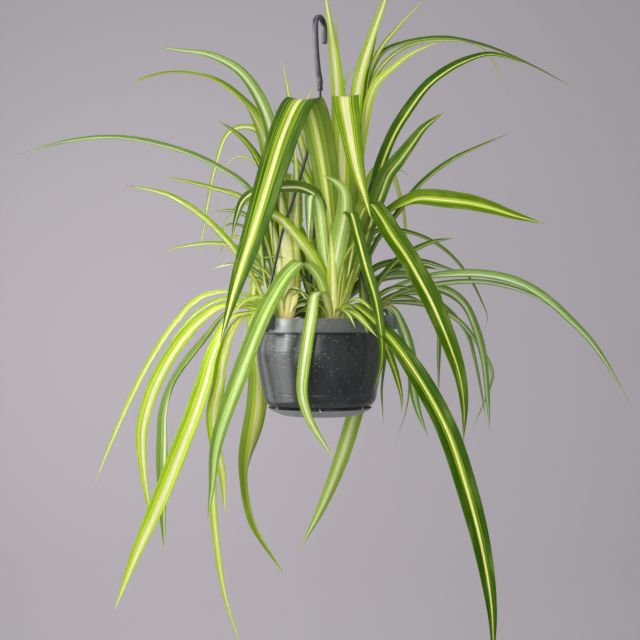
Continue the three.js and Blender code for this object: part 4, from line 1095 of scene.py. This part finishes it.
def soften_edges(target, width):
    """Rounds the sharp edges of a piece with a bevel."""
    modifier = target.modifiers.new("soft_edges", "BEVEL")
    modifier.width = width / 1000
    modifier.segments = 3
    modifier.limit_method = "ANGLE"
    modifier.angle_limit = math.radians(40)
    apply_modifiers(target)


for side, angle in EARS.items():
    points, faces = slab(ear_plan(), EAR_BOTTOM, EAR_TOP)
    ear = piece("pot_ear_" + side, turn_about_z(points, angle), faces, EAR_PLASTIC, ["pot"])
    soften_edges(ear, 0.8)

# %% [markdown]
# ## The saucer
# The saucer is a shallow dish of paler plastic. It hangs on a stud through the pot's middle hole,
# and small posts keep the dark gap open that the extra water runs through.

# %% Saucer
SAUCER_RADIUS, SAUCER_TOP = 61.0, -101.6
FOOT_RADIUS, FOOT = 45.0, -110.0
SAUCER_WALL = 1.6
POSTS, POST_LENGTH, POST_WIDTH = 6, 3.0, 1.8
CLEARANCE = 0.35
STUD_TOP = -FLOOR_DEPTH + 8

dish = [(0.0, FOOT), (FOOT_RADIUS, FOOT), (FOOT_RADIUS + 2, FOOT + 0.7),
        (SAUCER_RADIUS - 3, SAUCER_TOP - 2.6), (SAUCER_RADIUS, SAUCER_TOP),
        (SAUCER_RADIUS - SAUCER_WALL, SAUCER_TOP), (SAUCER_RADIUS - 5, SAUCER_TOP - 1.6),
        (FOOT_RADIUS - 1, FOOT + SAUCER_WALL), (0.0, FOOT + SAUCER_WALL)]
stud_radius = STUD_RADIUS - CLEARANCE
stud = [(0.0, FOOT + 1), (stud_radius, FOOT + 1), (stud_radius, STUD_TOP - 3), (2.6, STUD_TOP),
        (0.0, STUD_TOP)]


def together(*shapes):
    """Several (points, faces) shapes as one."""
    points, faces, count = [], [], 0
    for shape_points, shape_faces in shapes:
        points.append(np.asarray(shape_points, float))
        faces += [tuple(count + corner for corner in face) for face in shape_faces]
        count += len(shape_points)
    return np.concatenate(points), faces


def post(angle):
    """A small block between the saucer and the pot's floor."""
    middle, side = FLOOR_RADIUS - 5.5, POST_WIDTH / 2
    inner, outer = middle - POST_LENGTH / 2, middle + POST_LENGTH / 2
    plan = [(inner, -side), (outer, -side), (outer, side), (inner, side)]
    points, faces = slab(plan, SAUCER_TOP - 4, -FLOOR_DEPTH - CLEARANCE)
    return turn_about_z(points, angle), faces


posts = [post(360.0 * (number + 0.5) / POSTS) for number in range(POSTS)]
points, faces = together(turned(rounded(dish, 0.5)), turned(rounded(stud, 0.6), 48), *posts)
piece("saucer_dish", points, faces, SAUCER_PLASTIC, ["saucer"])

# %% [markdown]
# ## Hook and arms
# The hanger is moulded too. An arm is a round strand that swings out over the leaves, and the
# hook is a flat bar bent into a crook. Both are one section carried along a smooth line.

# %% Hook
HUB, COLLAR = 252.0, 275.0
HOOK_RADIUS, HOOK_TIP, HOOK_TURN = 11.8, 326.0, 63.0
HOOK_WIDTH, HOOK_THICKNESS = 6.5, 5.0


def oval(wide, thick, squareness, around=20):
    """A section between an oval and a rounded box."""
    angles = np.linspace(0.0, 2 * math.pi, around, endpoint=False)
    power = 2.0 / squareness
    cos, sin = np.cos(angles), np.sin(angles)
    return np.stack([np.sign(cos) * np.abs(cos) ** power * wide / 2,
                     np.sign(sin) * np.abs(sin) ** power * thick / 2], axis=1)


def swept(line, section, step, round_end=0.0):
    """A section carried along a line that lies in the plane y = 0."""
    path, length = even_steps(smooth_path([(x, 0.0, z) for x, z in line]), step)
    tangent = unit(np.gradient(path, axis=0))
    sideways = np.array([0.0, 1.0, 0.0])
    normal = np.cross(sideways, tangent)
    scale = np.ones(len(path))
    if round_end:
        left = (1.0 - np.linspace(0.0, 1.0, len(path))) * length
        scale = np.sqrt(np.clip(1.0 - (1.0 - np.minimum(left / round_end, 1.0)) ** 2, 0.02, 1.0))
    rings = (path[:, None, :] + sideways * (section[:, 0] * scale[:, None])[:, :, None]
             + normal[:, None, :] * (section[:, 1] * scale[:, None])[:, :, None])
    faces = ring_faces(len(path), len(section))
    return rings.reshape(-1, 3), [face[::-1] for face in faces]


crook_centre = HANG + HOOK_THICKNESS / 2 - HOOK_RADIUS
crook = [(0.0, COLLAR), (-1.2, 283), (-4.6, 291), (-8.2, 306), (-10.8, 323)]
crook += [(HOOK_RADIUS * math.cos(a), crook_centre + HOOK_RADIUS * math.sin(a))
          for a in np.linspace(math.pi, 0.0, 9)]
crook.append((HOOK_RADIUS, HOOK_TIP))
collar = [(0.0, HUB), (5.5, HUB), (5.5, HUB + 3), (2.6, HUB + 5), (1.8, HUB + 6.5)]
two_rings = [(1.8, -6.3), (3.5, -6), (3.5, -1.4), (2.6, -1), (2.6, 1.6), (3.5, 2), (3.5, 6),
             (2.4, 6.6), (0.0, 6.6)]
collar += [(radius, COLLAR + height) for radius, height in two_rings]
points, faces = together(swept(crook, oval(HOOK_WIDTH, HOOK_THICKNESS, 3.2), 1.2, 2.0),
                         turned(rounded(collar, 0.5), 48))
piece("hook_and_collar", turn_about_z(points, HOOK_TURN), faces, HANGER_PLASTIC, ["hook"])

# %% Arms
# Each arm as (outward, height), from under the hub to its seat in the ear
ARM_LINES = {
    "left": [(19, 196), (40, 140), (56, 103), (68, 63), (75.5, 36), (80, 14)],
    "right": [(14, 200), (24, 150), (35, 110), (44, 78), (51, 51), (56, 30), (62, 15), (72, 12.5),
              (79, 11)],
    "rear": [(15, 200), (25, 150), (38, 100), (50, 62), (60, 36), (72, 18), (79.5, 11)],
}
BUTTON_RADIUS, BUTTON_BOTTOM, BUTTON_TOP = 3.4, EAR_BOTTOM - 2.6, EAR_BOTTOM - CLEARANCE

button = [(0.0, BUTTON_BOTTOM), (BUTTON_RADIUS, BUTTON_BOTTOM), (BUTTON_RADIUS, BUTTON_TOP),
          (0.0, BUTTON_TOP)]
button_points, button_faces = turned(rounded(button, 0.7), 32)
for side, line in ARM_LINES.items():
    line = [(3.4, HUB - CLEARANCE), (4.4, HUB - 6), *line, (ARM_SEAT, EAR_TOP), (ARM_SEAT, 0.0),
            (ARM_SEAT, EAR_BOTTOM - 1.5)]
    strand = swept(line, oval(ARM_DIAMETER, ARM_DIAMETER, 2.3, 16), 2.0)
    points, faces = together(strand, (button_points + (ARM_SEAT, 0.0, 0.0), button_faces))
    piece("arm_" + side, turn_about_z(points, EARS[side]), faces, HANGER_PLASTIC,
          ["hanger_arm_" + side])

# %% [markdown]
# ## The soil
# Potting soil is dark and crumbly, with pale grains of perlite that keep it loose. The bed is a
# turned shape whose top is pushed up and down by noise, and loose crumbs lie on it.

# %% Soil material
def soil_material():
    material, tree, shader = new_material("potting_soil")
    place = node(tree, "TexCoord").outputs["Object"]
    crumbs, clumps = noise(place, 420.0, 5.0, 0.7), noise(place, 90.0, 3.0)
    colour = mix(crumbs, linear(28, 20, 14), linear(92, 68, 48))
    colour = mix(ease(clumps, 0.35, 0.7), colour, linear(44, 32, 22))
    colour = mix(attribute(tree, "pale", "Fac"), colour, linear(222, 218, 206))
    tree.links.new(colour, shader.inputs["Base Color"])
    shader.inputs["Roughness"].default_value = 0.95
    bump(shader, crumbs, 0.8, 0.002)
    return material


SOIL = soil_material()

# %% Bed of soil
def soil_height(x, y):
    """The uneven top of the soil."""
    waves = (math.sin(x * 0.21 + 1.3) * math.cos(y * 0.17)
             + 0.6 * math.sin(x * 0.5 - y * 0.43 + 2.0) + 0.35 * math.cos(x * 0.9 + y * 1.1))
    return SOIL_TOP + 0.5 * waves - 0.4


bed_radius = RIM_RADIUS - SHOULDER - WALL - CLEARANCE
bed_floor = -FLOOR_DEPTH + WALL + CLEARANCE
bed = [(0.0, bed_floor), (FLOOR_RADIUS - 5.5, bed_floor),
       (HEEL_RADIUS - WALL - CLEARANCE, -HEEL_DEPTH), (bed_radius, -BELLY_DEPTH),
       (bed_radius, SOIL_TOP - 2)]
bed += [(radius, SOIL_TOP) for radius in np.linspace(bed_radius - 1, 2.0, 34)] + [(0.0, SOIL_TOP)]
points, faces = turned(bed, 120)
for point in points:
    if point[2] > SOIL_TOP - 1:
        point[2] = soil_height(point[0], point[1])
piece("soil_bed", points, faces, SOIL, ["potting_soil"], {"pale": np.zeros(len(points))})

# %% Crumbs and perlite
CRUMBS, CRUMB_REACH, PERLITE_SHARE = 420, 65.0, 0.22
random = np.random.default_rng(11)
ball = bmesh.new()
bmesh.ops.create_icosphere(ball, subdivisions=1, radius=1.0)
ball_points = np.array([corner.co for corner in ball.verts])
ball_faces = [tuple(corner.index for corner in face.verts) for face in ball.faces]
ball.free()
crumbs, pale = [], []
for number in range(CRUMBS):
    radius, angle = CRUMB_REACH * math.sqrt(random.random()), 2 * math.pi * random.random()
    x, y = radius * math.cos(angle), radius * math.sin(angle)
    size = 0.5 + 1.1 * random.random() ** 2
    shape = ball_points * (size * (0.7 + 0.6 * random.random((len(ball_points), 1))))
    squash = (1.0, 0.6 + 0.4 * random.random(), 0.6)
    crumbs.append((shape * squash + (x, y, soil_height(x, y) + 0.2 * size), ball_faces))
    pale += [1.0 if random.random() < PERLITE_SHARE else 0.0] * len(ball_points)
points, faces = together(*crumbs)
piece("soil_crumbs", points, faces, SOIL, [], {"pale": pale})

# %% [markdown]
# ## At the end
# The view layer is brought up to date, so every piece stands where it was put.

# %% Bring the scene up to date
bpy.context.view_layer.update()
